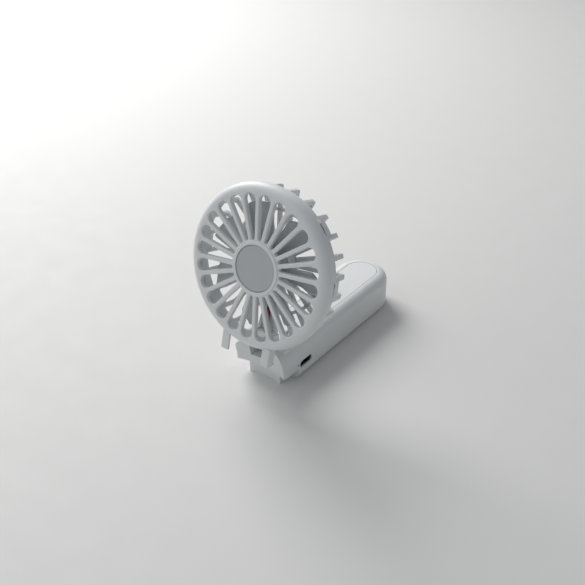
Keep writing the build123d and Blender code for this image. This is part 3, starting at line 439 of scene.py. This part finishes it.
# ---------------------------------------------------------------- front grille
def add_grille_face(bm, sizes):
    """Flat face with its slots: half a slot is drawn, pushed, mirrored, rounded and repeated."""
    half_pitch = pi / sizes.spoke_count
    half_spoke = sizes.spoke_width / 2
    arc = STEPS // (2 * sizes.spoke_count)

    def slot_half_width(radius):
        return radius * tan(half_pitch) - half_spoke / cos(half_pitch)

    roll_start = HEAD_RADIUS - BEZEL_ROLL
    outline = [
        polar(0, RIM_OUTER), polar(0, SLOT_INNER),
        Vector((slot_half_width(SLOT_INNER), SLOT_INNER, 0)),
        Vector((slot_half_width(SLOT_OUTER), SLOT_OUTER, 0)),
        polar(0, SLOT_OUTER),
    ]
    corner_radii = [0, SLOT_ROOT_ROUND, SLOT_END_ROUND]
    slot_side = rounded_path(outline, corner_radii, 6)
    outer_arc = [polar(half_pitch * step / arc, roll_start) for step in range(arc + 1)]
    inner_arc = [polar(half_pitch * step / arc, RIM_OUTER) for step in range(arc, 0, -1)]
    extrude_outline(bm, slot_side + outer_arc + inner_arc, (0, 0, -FACE_THICKNESS))

    def inside_wall(face):
        """Walls that the neighbouring sectors, the hub and the bezel cover."""
        if abs(face.normal.z) > 0.5:
            return False
        if all(abs(vert.co.x) < WELD for vert in face.verts):
            return True
        radii = [vert.co.xy.length for vert in face.verts]
        angles = [atan2(vert.co.x, vert.co.y) for vert in face.verts]
        for arc_radius in (RIM_OUTER, roll_start):
            if all(abs(radius - arc_radius) < WELD for radius in radii):
                return True
        return all(abs(angle - half_pitch) < 1e-4 for angle in angles)

    bm.normal_update()
    bmesh.ops.delete(bm, geom=[face for face in bm.faces if inside_wall(face)], context="FACES")
    bmesh.ops.mirror(bm, geom=bm.verts[:] + bm.edges[:] + bm.faces[:], axis="X", merge_dist=WELD)
    bmesh.ops.recalc_face_normals(bm, faces=bm.faces)
    slot_rim = [
        edge for edge in sharp_edges(bm, bm.edges, radians(60))
        if max(abs(vert.co.z) for vert in edge.verts) < WELD
    ]
    round_edges(bm, slot_rim, sizes.spoke_round, 5)
    back_rim = [
        edge for edge in sharp_edges(bm, bm.edges, radians(60))
        if max(vert.co.z for vert in edge.verts) < -FACE_THICKNESS + WELD
    ]
    round_edges(bm, back_rim, sizes.spoke_round / 2, 2)
    polar_copies(bm, bm.verts[:] + bm.edges[:] + bm.faces[:], sizes.spoke_count)


def add_hub_rim(bm):
    """Raised rim round the badge, the badge's recess and the hub's plain back."""
    front = [
        (RIM_OUTER, 0), (RIM_OUTER - 0.1 * MM, RIM_RISE), (BADGE_RECESS, RIM_RISE),
        (BADGE_RECESS, -BADGE_SEAT), (0, -BADGE_SEAT),
    ]
    spin_profile(bm, rounded_path(front, [0.45 * MM, 0.25 * MM, 0], 4))
    spin_profile(bm, [(RIM_OUTER, -FACE_THICKNESS), (0, -FACE_THICKNESS)])


def add_bezel(bm):
    """Rolled outer ring, from the face's front round to its back."""
    roll_start = HEAD_RADIUS - BEZEL_ROLL
    profile = [
        (roll_start, 0), (HEAD_RADIUS, 0), (HEAD_RADIUS, -BEZEL_DEPTH), (BEZEL_INNER, -BEZEL_DEPTH),
        (BEZEL_INNER, -BEZEL_SKIRT), (roll_start, -FACE_THICKNESS),
    ]
    radii = [BEZEL_ROLL * 0.999, 0.35 * MM, 0.3 * MM, 0]
    spin_profile(bm, rounded_path(profile, radii, 10))


def add_tongues(bm):
    """Two L-shaped tongues: a front plate with a wall along its outer side and a round heel."""
    for side in (-1, 1):
        part = bmesh.new()
        section = [
            (TONGUE_INNER, -TONGUE_FRONT), (TONGUE_OUTER, -TONGUE_FRONT), (TONGUE_OUTER, -TONGUE_BACK),
            (TONGUE_OUTER - TONGUE_WALL, -TONGUE_BACK),
            (TONGUE_OUTER - TONGUE_WALL, -TONGUE_FRONT - TONGUE_WALL),
            (TONGUE_INNER, -TONGUE_FRONT - TONGUE_WALL),
        ]
        outline = [Vector((side * x, -TONGUE_ROOT, z)) for x, z in section]
        extrude_outline(part, outline, (0, TONGUE_ROOT - TONGUE_REACH, 0))
        bmesh.ops.recalc_face_normals(part, faces=part.faces)
        heel = [
            edge for edge in part.edges
            if all(abs(v.co.z + TONGUE_BACK) < WELD and abs(v.co.y + TONGUE_REACH) < WELD
                   for v in edge.verts)
        ]
        round_edges(part, heel, TONGUE_HEEL, 6)
        corner = [
            edge for edge in part.edges
            if all(abs(v.co.z + TONGUE_FRONT) < WELD and abs(abs(v.co.x) - TONGUE_OUTER) < WELD
                   for v in edge.verts)
        ]
        round_edges(part, corner, TONGUE_CORNER, 4)
        round_edges(part, sharp_edges(part, part.edges, radians(50)), 0.25 * MM, 2)
        merge_into(bm, part)


def build_front_grille(sizes, materials):
    """Front grille: slotted face, hub rim, bezel and tongues."""
    bm = bmesh.new()
    add_grille_face(bm, sizes)
    add_hub_rim(bm)
    add_bezel(bm)
    bmesh.ops.remove_doubles(bm, verts=bm.verts, dist=WELD)
    add_tongues(bm)
    return finish_piece(
        "front_grille_shell", bm, HEAD, materials["grille_plastic"], "head", ["front_grille"]
    )


def build_badge(materials):
    """Plain disc that fills the hub's recess."""
    bm = bmesh.new()
    top = 0.1 * MM
    profile = [(0, top), (BADGE_RADIUS, top), (BADGE_RADIUS, -BADGE_SEAT), (0, -BADGE_SEAT)]
    spin_profile(bm, rounded_path(profile, [0.18 * MM, 0.1 * MM], 3))
    return finish_piece(
        "badge_disc", bm, HEAD, materials["badge_plastic"], "head", ["centre_badge"]
    )


# ---------------------------------------------------------------- rear grille
def add_rear_ring(bm):
    """Ring wall with the lip that fits inside the bezel, and the slits in front of its windows."""
    profile = [
        (REAR_WALL_INNER, -LIP_FRONT), (LIP_OUTER, -LIP_FRONT), (LIP_OUTER, -BEZEL_DEPTH),
        (REAR_WALL_OUTER, -BEZEL_DEPTH), (REAR_WALL_OUTER, -SLIT_FRONT), (REAR_WALL_OUTER, -SLIT_BACK),
        (REAR_WALL_OUTER, -REAR_WALL_DEPTH), (REAR_WALL_INNER, -REAR_WALL_DEPTH),
    ]
    verts = spin_profile(bm, profile, closed=True)
    bmesh.ops.remove_doubles(bm, verts=[vert for vert in verts if vert.is_valid], dist=WELD)
    bmesh.ops.recalc_face_normals(bm, faces=bm.faces)
    slit_middle = -(SLIT_FRONT + SLIT_BACK) / 2

    def in_slit(face):
        middle = face.calc_center_median()
        if abs(middle.z - slit_middle) > 0.1 * MM or middle.xy.length < REAR_WALL_OUTER - 0.5 * MM:
            return False
        angle = atan2(middle.x, middle.y)
        return any(
            abs((angle - radians(at) + pi) % (2 * pi) - pi) < SLIT_HALF_ANGLE for at in WINDOW_ANGLES
        )

    pocket = bmesh.ops.extrude_face_region(bm, geom=[face for face in bm.faces if in_slit(face)])
    moved = [item for item in pocket["geom"] if isinstance(item, bmesh.types.BMVert)]
    shrink = (REAR_WALL_OUTER - SLIT_DEPTH) / REAR_WALL_OUTER
    bmesh.ops.scale(bm, vec=(shrink, shrink, 1), verts=moved)


def add_ribs(bm, sizes):
    """Straight L-shaped ribs from the ring wall back and in to the motor seat."""
    part = bmesh.new()
    inner = REAR_DEPTH - RIB_THICKNESS
    section = [
        (REAR_WALL_OUTER - 0.3 * MM, -REAR_WALL_DEPTH + RIB_ROOT),
        (RIB_CORNER + 0.25 * MM, -REAR_DEPTH),
        (SEAT_OUTER - RIB_ROOT, -REAR_DEPTH),
        (SEAT_OUTER - RIB_ROOT, -inner),
        (RIB_CORNER - 1.7 * MM, -inner),
        (REAR_WALL_INNER + 0.2 * MM, -REAR_WALL_DEPTH + RIB_ROOT),
    ]
    looped = section + section[:1]
    path = rounded_path(looped, [1.5 * MM, 0, 0, 0.8 * MM, 0], 5)[:-1]
    outline = [Vector((-RIB_WIDTH / 2, radius, z)) for radius, z in path]
    extrude_outline(part, outline, (RIB_WIDTH, 0, 0))
    bmesh.ops.recalc_face_normals(part, faces=part.faces)
    round_edges(part, sharp_edges(part, part.edges, radians(60)), 0.4 * MM, 3)
    bmesh.ops.rotate(
        part, verts=part.verts, cent=(0, 0, 0), matrix=Matrix.Rotation(-pi / sizes.spoke_count, 3, "Z")
    )
    polar_copies(part, part.verts[:] + part.edges[:] + part.faces[:], sizes.spoke_count)
    merge_into(bm, part)


def add_windows(bm, sizes):
    """Short walls that join two ribs behind each slit."""
    half = pi / sizes.spoke_count
    profile = [
        (WINDOW_INNER, -REAR_WALL_DEPTH + RIB_ROOT), (WINDOW_OUTER, -REAR_WALL_DEPTH + RIB_ROOT),
        (WINDOW_OUTER, -WINDOW_DEPTH), (WINDOW_INNER, -WINDOW_DEPTH),
    ]
    for angle in WINDOW_ANGLES:
        part = bmesh.new()
        spin_profile(part, profile, 6, closed=True, angle=2 * half, start=radians(angle) - half)
        bmesh.ops.remove_doubles(part, verts=part.verts, dist=WELD)
        bmesh.ops.recalc_face_normals(part, faces=part.faces)
        round_edges(part, sharp_edges(part, part.edges, radians(50)), 0.3 * MM, 2)
        merge_into(bm, part)


def add_motor_seat(bm):
    """Cup that holds the motor, and the hoop that ties the ribs."""
    inner = REAR_DEPTH - RIB_THICKNESS
    seat = [
        (REAR_HOLE, -inner), (SEAT_SHOULDER, -inner), (SEAT_SHOULDER, -MOTOR_BACK),
        (SEAT_INNER, -MOTOR_BACK), (SEAT_INNER, -SEAT_FRONT), (SEAT_OUTER, -SEAT_FRONT),
        (SEAT_OUTER, -REAR_DEPTH), (REAR_HOLE, -REAR_DEPTH), (REAR_HOLE, -inner),
    ]
    radii = [0, 0, 0, 0.3 * MM, 0.4 * MM, 0.5 * MM, 0.3 * MM]
    spin_profile(bm, rounded_path(seat, radii, 3)[:-1], 72, closed=True)
    low, high = HOOP_RADIUS - HOOP_WIDTH / 2, HOOP_RADIUS + HOOP_WIDTH / 2
    hoop = [(low, -inner), (high, -inner), (high, -REAR_DEPTH), (low, -REAR_DEPTH)]
    hoop += hoop[:2]
    rounded = rounded_path(hoop, [0.35 * MM] * 4, 3)[1:-1]
    spin_profile(bm, rounded, 96, closed=True)


def add_neck(bm):
    """Wire channel's back plate, the neck and the hinge barrel."""
    part = bmesh.new()
    start, end = -SEAT_OUTER + 0.5 * MM, -NECK_ROOT - 1.2 * MM
    channel = [
        Vector((x, start, z))
        for x, z in (
            (-CHANNEL_WIDTH / 2, -REAR_DEPTH), (CHANNEL_WIDTH / 2, -REAR_DEPTH),
            (CHANNEL_WIDTH / 2, -REAR_DEPTH + RIB_THICKNESS),
            (-CHANNEL_WIDTH / 2, -REAR_DEPTH + RIB_THICKNESS),
        )
    ]
    extrude_outline(part, channel, (0, end - start, 0))
    bmesh.ops.recalc_face_normals(part, faces=part.faces)
    round_edges(part, sharp_edges(part, part.edges), 0.3 * MM, 2)
    merge_into(bm, part)

    part = bmesh.new()
    hinge_y, hinge_z = HINGE_IN_HEAD.y, HINGE_IN_HEAD.z
    section = [
        (-NECK_ROOT, -13.0 * MM), (hinge_y, hinge_z + KNUCKLE_RADIUS), (hinge_y, hinge_z),
        (hinge_y + KNUCKLE_RADIUS, hinge_z - 1.0 * MM), (-36.6 * MM, -REAR_DEPTH), (-NECK_ROOT, -REAR_DEPTH),
    ]
    outline = [Vector((-NECK_HALF, y, z)) for y, z in section]
    extrude_outline(part, outline, (2 * NECK_HALF, 0, 0))
    bmesh.ops.recalc_face_normals(part, faces=part.faces)
    round_edges(part, sharp_edges(part, part.edges), 0.4 * MM, 3)
    merge_into(bm, part)

    part = bmesh.new()
    barrel = [
        (PIN_CLEAR_RADIUS, -NECK_HALF), (KNUCKLE_RADIUS, -NECK_HALF), (KNUCKLE_RADIUS, NECK_HALF),
        (PIN_CLEAR_RADIUS, NECK_HALF), (PIN_CLEAR_RADIUS, -NECK_HALF),
    ]
    spin_profile(part, rounded_path(barrel, [0.35 * MM, 0.35 * MM, 0], 3)[:-1], 64, closed=True)
    bmesh.ops.remove_doubles(part, verts=part.verts, dist=WELD)
    turn = Matrix.Translation((0, hinge_y, hinge_z)) @ Matrix.Rotation(pi / 2, 4, "Y")
    merge_into(bm, part, turn)


def build_rear_grille(sizes, materials):
    """Rear cage: ring wall, ribs, window walls, motor seat, hoop and neck."""
    bm = bmesh.new()
    add_rear_ring(bm)
    add_ribs(bm, sizes)
    add_windows(bm, sizes)
    add_motor_seat(bm)
    add_neck(bm)
    return finish_piece(
        "rear_grille_cage", bm, HEAD, materials["grille_plastic"], "head", ["rear_grille"]
    )


# ---------------------------------------------------------------- impeller
def blend_between(low, high, share):
    """The value that lies a share of the way from low to high."""
    return low + (high - low) * share


def add_blade(bm, sizes, angle):
    """Twisted blade with rounded tip corners, grown from a flat grid."""
    part = bmesh.new()
    bmesh.ops.create_grid(part, x_segments=12, y_segments=14, size=1.0)
    for vert in part.verts:
        across, along = vert.co.x, (vert.co.y + 1) / 2
        radius = blend_between(BLADE_ROOT, BLADE_TIP, along)
        chord = blend_between(sizes.root_chord, sizes.tip_chord, along ** 0.8)
        pitch = blend_between(sizes.root_pitch, sizes.tip_pitch, along ** 0.7)
        past = max(0.0, radius - (BLADE_TIP - BLADE_TIP_ROUND))
        half = chord / 2 - (BLADE_TIP_ROUND - sqrt(max(0.0, BLADE_TIP_ROUND ** 2 - past ** 2)))
        camber = BLADE_CAMBER * (1 - across ** 2)
        vert.co = (
            half * across * cos(pitch) - camber * sin(pitch),
            radius,
            -half * across * sin(pitch) - camber * cos(pitch),
        )
    bmesh.ops.recalc_face_normals(part, faces=part.faces)
    bmesh.ops.solidify(part, geom=part.faces[:], thickness=sizes.blade_thickness)
    bmesh.ops.recalc_face_normals(part, faces=part.faces)
    round_edges(part, sharp_edges(part, part.edges, radians(60)), 0.35 * MM, 2)
    place = Matrix.Rotation(-angle, 4, "Z") @ Matrix.Translation((0, 0, -BLADE_DEPTH))
    merge_into(bm, part, place)


def build_impeller(sizes, materials):
    """Impeller: a cup-shaped hub with its blades evenly round it."""
    bm = bmesh.new()
    hub = [
        (SHAFT_RADIUS, -HUB_FRONT), (HUB_RADIUS, -HUB_FRONT), (HUB_RADIUS, -HUB_BACK),
        (HUB_RADIUS - HUB_WALL, -HUB_BACK), (HUB_RADIUS - HUB_WALL, -HUB_FRONT - HUB_FLOOR),
        (SHAFT_RADIUS, -HUB_FRONT - HUB_FLOOR), (SHAFT_RADIUS, -HUB_FRONT),
    ]
    radii = [HUB_NOSE, 0.3 * MM, 0.3 * MM, 0.4 * MM, 0]
    spin_profile(bm, rounded_path(hub, radii, 5)[:-1], 96, closed=True)
    for number in range(sizes.blade_count):
        add_blade(bm, sizes, BLADE_PHASE + number * 2 * pi / sizes.blade_count)
    return finish_piece(
        "impeller_blades", bm, HEAD, materials["impeller_plastic"], "rotor", ["impeller"]
    )


# ---------------------------------------------------------------- handle
def softened_copy(node, name, radius, material, body):
    """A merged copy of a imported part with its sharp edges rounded."""
    bm = bmesh.new()
    bm.from_mesh(NODES[node].data)
    bmesh.ops.remove_doubles(bm, verts=bm.verts, dist=WELD)
    bmesh.ops.recalc_face_normals(bm, faces=bm.faces)
    round_edges(bm, sharp_edges(bm, bm.edges, radians(35)), radius, 2, loop_slide=True)
    return finish_piece(name, bm, Matrix.Identity(4), material, body, [node])


def screw_hole_cutter():
    """Two countersunk screw holes, as the solid to take away."""
    cutter = bmesh.new()
    for side in (-1, 1):
        for low, high, depth, top in (
            (SCREW_RADIUS, SCREW_RADIUS, 4 * MM, 1 * MM),
            (SCREW_RADIUS * 0.9, SCREW_HEAD_RADIUS, SCREW_SINK, 0.01 * MM),
        ):
            part = bmesh.new()
            bmesh.ops.create_cone(
                part, cap_ends=True, segments=40, radius1=low, radius2=high, depth=depth,
                matrix=Matrix.Translation((side * SCREW_X, SCREW_Y, top - depth / 2)),
            )
            merge_into(cutter, part)
    return cutter


def cut_away(bm, cutter):
    """Take one bmesh away from another and return what is left."""
    pair = []
    for name, part in (("stock", bm), ("cutter", cutter)):
        mesh = bpy.data.meshes.new(name)
        part.to_mesh(mesh)
        part.free()
        pair.append(bpy.data.objects.new(name, mesh))
        bpy.context.scene.collection.objects.link(pair[-1])
    stock, tool = pair
    boolean = stock.modifiers.new("cut", "BOOLEAN")
    boolean.operation = "DIFFERENCE"
    boolean.solver = "EXACT"
    boolean.use_self = True
    boolean.object = tool
    result = bmesh.new()
    result.from_object(stock, bpy.context.evaluated_depsgraph_get())
    for item in pair:
        mesh = item.data
        bpy.data.objects.remove(item)
        bpy.data.meshes.remove(mesh)
    return result


def build_top_panel(materials):
    """Panel plate with a half-round back end, screw holes with pads, and a locating rib."""
    bm = bmesh.new()
    arc = [
        Vector((PANEL_HALF * cos(pi * step / 48), REAR_CENTRE_Y + PANEL_HALF * sin(pi * step / 48), 0))
        for step in range(49)
    ]
    plan = [Vector((PANEL_HALF, PANEL_FRONT_Y, 0))] + arc + [Vector((-PANEL_HALF, PANEL_FRONT_Y, 0))]
    extrude_outline(bm, plan, (0, 0, -PANEL_THICKNESS))
    bmesh.ops.recalc_face_normals(bm, faces=bm.faces)
    top_rim = [
        edge for edge in sharp_edges(bm, bm.edges, radians(60))
        if max(abs(vert.co.z) for vert in edge.verts) < WELD
    ]
    round_edges(bm, top_rim, 0.22 * MM, 3)
    rib = bmesh.ops.create_cube(bm, size=1.0)["verts"]
    bmesh.ops.scale(bm, vec=LOCATING_RIB, verts=rib)
    rib_z = -PANEL_THICKNESS - LOCATING_RIB[2] / 2 + JOIN_OVERLAP
    bmesh.ops.translate(bm, vec=(0, LOCATING_RIB_Y, rib_z), verts=rib)
    pad_z = -PANEL_THICKNESS + JOIN_OVERLAP - PAD_DROP / 2
    for side in (-1, 1):
        pad = bmesh.new()
        bmesh.ops.create_cone(
            pad, cap_ends=True, segments=40, radius1=PAD_RADIUS, radius2=PAD_RADIUS, depth=PAD_DROP,
            matrix=Matrix.Translation((side * SCREW_X, SCREW_Y, pad_z)),
        )
        merge_into(bm, pad)
    bm = cut_away(bm, screw_hole_cutter())
    place = Matrix.Translation((0, 0, HANDLE_HEIGHT))
    return finish_piece(
        "top_panel_plate", bm, place, materials["panel_plastic"], "handle", ["top_panel"]
    )


# ---------------------------------------------------------------- the plain stage
STAGE_TARGET = Vector((-1.3, -23.3, 35.3)) * MM
FLOOR_HALF = 3.0
LIGHT_TARGET = (0, 0, 0.03)
KEY_PLACE = (-0.75, 0.25, 0.62)
KEY_SIZE = 0.6
FILL_PLACE = (-0.35, -0.8, 0.75)
FILL_SIZE = 0.9
FILL_SHARE = 0.22
SKY_STRENGTH = 0.30


# ---------------------------------------------------------------- settings, operators and panel
class FanGrilleSettings(bpy.types.PropertyGroup):
    spoke_count: IntProperty(
        name="Spokes", description="Spokes and ribs round the head", default=24, min=12, max=36
    )
    spoke_width: FloatProperty(
        name="Spoke width", description="Width of a spoke of the front grille", default=2.0 * MM, unit="LENGTH"
    )
    spoke_round: FloatProperty(
        name="Spoke round", description="Rounding along each slot's front edge", default=0.55 * MM, unit="LENGTH"
    )


class FanBladeSettings(bpy.types.PropertyGroup):
    blade_count: IntProperty(name="Blades", description="Blades of the impeller", default=7, min=3, max=11)
    root_chord: FloatProperty(
        name="Root chord", description="Blade width at the hub", default=8.6 * MM, unit="LENGTH"
    )
    tip_chord: FloatProperty(
        name="Tip chord", description="Blade width at the tip", default=13.2 * MM, unit="LENGTH"
    )
    root_pitch: FloatProperty(
        name="Root pitch", description="Blade angle at the hub", default=radians(42), subtype="ANGLE"
    )
    tip_pitch: FloatProperty(
        name="Tip pitch", description="Blade angle at the tip", default=radians(28), subtype="ANGLE"
    )
    blade_thickness: FloatProperty(
        name="Blade thickness", description="Thickness of a blade", default=1.2 * MM, unit="LENGTH"
    )


def colour_property(name, description, colour):
    """A colour setting whose default is an sRGB hex colour."""
    return FloatVectorProperty(
        name=name, description=description, subtype="COLOR", size=3, min=0, max=1, default=linear(colour)[:3]
    )


class FanColourSettings(bpy.types.PropertyGroup):
    body: colour_property("Body", "Colour of the handle and the grilles", "#E2E4E5")
    badge: colour_property("Badge", "Colour of the plain disc on the hub", "#BEC0C2")
    blades: colour_property("Blades", "Colour of the impeller", "#BCBFC1")
    floor: colour_property("Floor", "Colour of the plain floor", "#DEDEDC")


class FanStageSettings(bpy.types.PropertyGroup):
    azimuth: FloatProperty(
        name="Azimuth", description="Camera's bearing round the fan", default=radians(37.04), subtype="ANGLE"
    )
    elevation: FloatProperty(
        name="Elevation", description="Camera's height angle", default=radians(33.27), subtype="ANGLE"
    )
    distance: FloatProperty(
        name="Distance", description="Camera's distance from its target", default=0.45, unit="LENGTH"
    )
    lens: FloatProperty(name="Lens", description="Camera's focal length", default=58.71, unit="CAMERA")
    key_power: FloatProperty(
        name="Key light", description="Power of the large soft light", default=9.0, unit="POWER"
    )


# Filled by the materials step, and read by the steps after it.
MATERIALS = {}


def hex_of(colour):
    """A linear colour as sRGB hex."""
    channels = [12.92 * c if c <= 0.0031308 else 1.055 * c ** (1 / 2.4) - 0.055 for c in colour]
    return "#" + "".join(f"{round(channel * 255):02X}" for channel in channels)


class FAN_OT_materials(bpy.types.Operator):
    """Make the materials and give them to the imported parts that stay"""
    bl_idname = "fan.materials"
    bl_label = "Materials"

    def execute(self, context):
        colours = context.scene.fan_colours
        chosen = {key: hex_of(getattr(colours, key)) for key in ("body", "badge", "blades")}
        MATERIALS.update(make_materials(chosen))
        for name, node in NODES.items():
            for slot in node.material_slots:
                slot.material = MATERIALS[SLOT_OF[name]]
        return {"FINISHED"}


class FAN_OT_front_grille(bpy.types.Operator):
    """Build the front grille, its bezel and tongues, and the badge"""
    bl_idname = "fan.front_grille"
    bl_label = "Front grille and badge"

    def execute(self, context):
        build_front_grille(context.scene.fan_grille, MATERIALS)
        build_badge(MATERIALS)
        return {"FINISHED"}


class FAN_OT_rear_grille(bpy.types.Operator):
    """Build the rear cage with its ribs, motor seat and neck"""
    bl_idname = "fan.rear_grille"
    bl_label = "Rear grille"

    def execute(self, context):
        build_rear_grille(context.scene.fan_grille, MATERIALS)
        return {"FINISHED"}


class FAN_OT_impeller(bpy.types.Operator):
    """Build the impeller's hub and twisted blades"""
    bl_idname = "fan.impeller"
    bl_label = "Impeller"

    def execute(self, context):
        build_impeller(context.scene.fan_blades, MATERIALS)
        return {"FINISHED"}


class FAN_OT_handle(bpy.types.Operator):
    """Build the handle's shell and top panel with softened edges"""
    bl_idname = "fan.handle"
    bl_label = "Handle shell and panel"

    def execute(self, context):
        softened_copy(
            "handle_shell", "handle_shell_skin", SHELL_SOFTENING, MATERIALS["shell_plastic"], "handle"
        )
        build_top_panel(MATERIALS)
        return {"FINISHED"}


def add_light(name, place, target, size, power, colour):
    """Soft square light that faces a target."""
    data = bpy.data.lights.new(name, "AREA")
    data.shape = "SQUARE"
    data.size = size
    data.energy = power
    data.color = colour
    lamp = bpy.data.objects.new(name, data)
    lamp.location = place
    lamp.rotation_euler = (Vector(target) - Vector(place)).to_track_quat("-Z", "Y").to_euler()
    bpy.context.scene.collection.objects.link(lamp)


class FAN_OT_stage(bpy.types.Operator):
    """Set the plain floor, the soft lights and the camera"""
    bl_idname = "fan.stage"
    bl_label = "Stage"

    def execute(self, context):
        scene = context.scene
        stage = scene.fan_stage
        bm = bmesh.new()
        bmesh.ops.create_grid(bm, x_segments=1, y_segments=1, size=FLOOR_HALF)
        mesh = bpy.data.meshes.new("floor")
        bm.to_mesh(mesh)
        bm.free()
        floor = bpy.data.objects.new("floor", mesh)
        scene.collection.objects.link(floor)
        colour = list(scene.fan_colours.floor) + [1.0]
        mesh.materials.append(moulded_plastic("matt_card_floor", colour, 0.7, 0.6, 0.01, 0.01))

        back = Vector((
            sin(stage.azimuth) * cos(stage.elevation),
            -cos(stage.azimuth) * cos(stage.elevation),
            sin(stage.elevation),
        ))
        data = bpy.data.cameras.new("camera")
        data.lens = stage.lens
        data.sensor_width = 36.0
        data.clip_start = 0.01
        camera = bpy.data.objects.new("camera", data)
        camera.location = STAGE_TARGET + back * stage.distance
        camera.rotation_euler = (-back).to_track_quat("-Z", "Y").to_euler()
        scene.collection.objects.link(camera)
        scene.camera = camera

        add_light("key", KEY_PLACE, LIGHT_TARGET, KEY_SIZE, stage.key_power, (1.0, 0.99, 0.98))
        add_light(
            "front_fill", FILL_PLACE, LIGHT_TARGET, FILL_SIZE, stage.key_power * FILL_SHARE,
            (0.97, 0.99, 1.0),
        )
        world = bpy.data.worlds.new("studio")
        world.use_nodes = True
        sky = world.node_tree.nodes["Background"]
        sky.inputs["Color"].default_value = (0.93, 0.96, 1.0, 1.0)
        sky.inputs["Strength"].default_value = SKY_STRENGTH
        scene.world = world
        scene.view_settings.view_transform = "Standard"
        return {"FINISHED"}


# The steps in the order that main() runs them.
OPERATORS = (
    FAN_OT_materials,
    FAN_OT_front_grille,
    FAN_OT_rear_grille,
    FAN_OT_impeller,
    FAN_OT_handle,
    FAN_OT_stage,
)


class FAN_PT_panel(bpy.types.Panel):
    """Lists the fan's settings and the steps that build it"""
    bl_idname = "FAN_PT_panel"
    bl_label = "Folding fan"
    bl_space_type = "VIEW_3D"
    bl_region_type = "UI"
    bl_category = "Fan"

    def draw(self, context):
        for group in (
            context.scene.fan_grille, context.scene.fan_blades,
            context.scene.fan_colours, context.scene.fan_stage,
        ):
            box = self.layout.box()
            for key in group.__annotations__:
                box.prop(group, key)
        for operator in OPERATORS:
            self.layout.operator(operator.bl_idname)


SETTINGS = {
    "fan_grille": FanGrilleSettings,
    "fan_blades": FanBladeSettings,
    "fan_colours": FanColourSettings,
    "fan_stage": FanStageSettings,
}
CLASSES = (*SETTINGS.values(), *OPERATORS, FAN_PT_panel)


def register():
    for item in CLASSES:
        bpy.utils.register_class(item)
    for key, group in SETTINGS.items():
        setattr(bpy.types.Scene, key, PointerProperty(type=group))


def unregister():
    for key in SETTINGS:
        delattr(bpy.types.Scene, key)
    for item in reversed(CLASSES):
        bpy.utils.unregister_class(item)


def main():
    register()
    bpy.ops.fan.materials()
    bpy.ops.fan.front_grille()
    bpy.ops.fan.rear_grille()
    bpy.ops.fan.impeller()
    bpy.ops.fan.handle()
    bpy.ops.fan.stage()


if __name__ == "__main__":
    main()
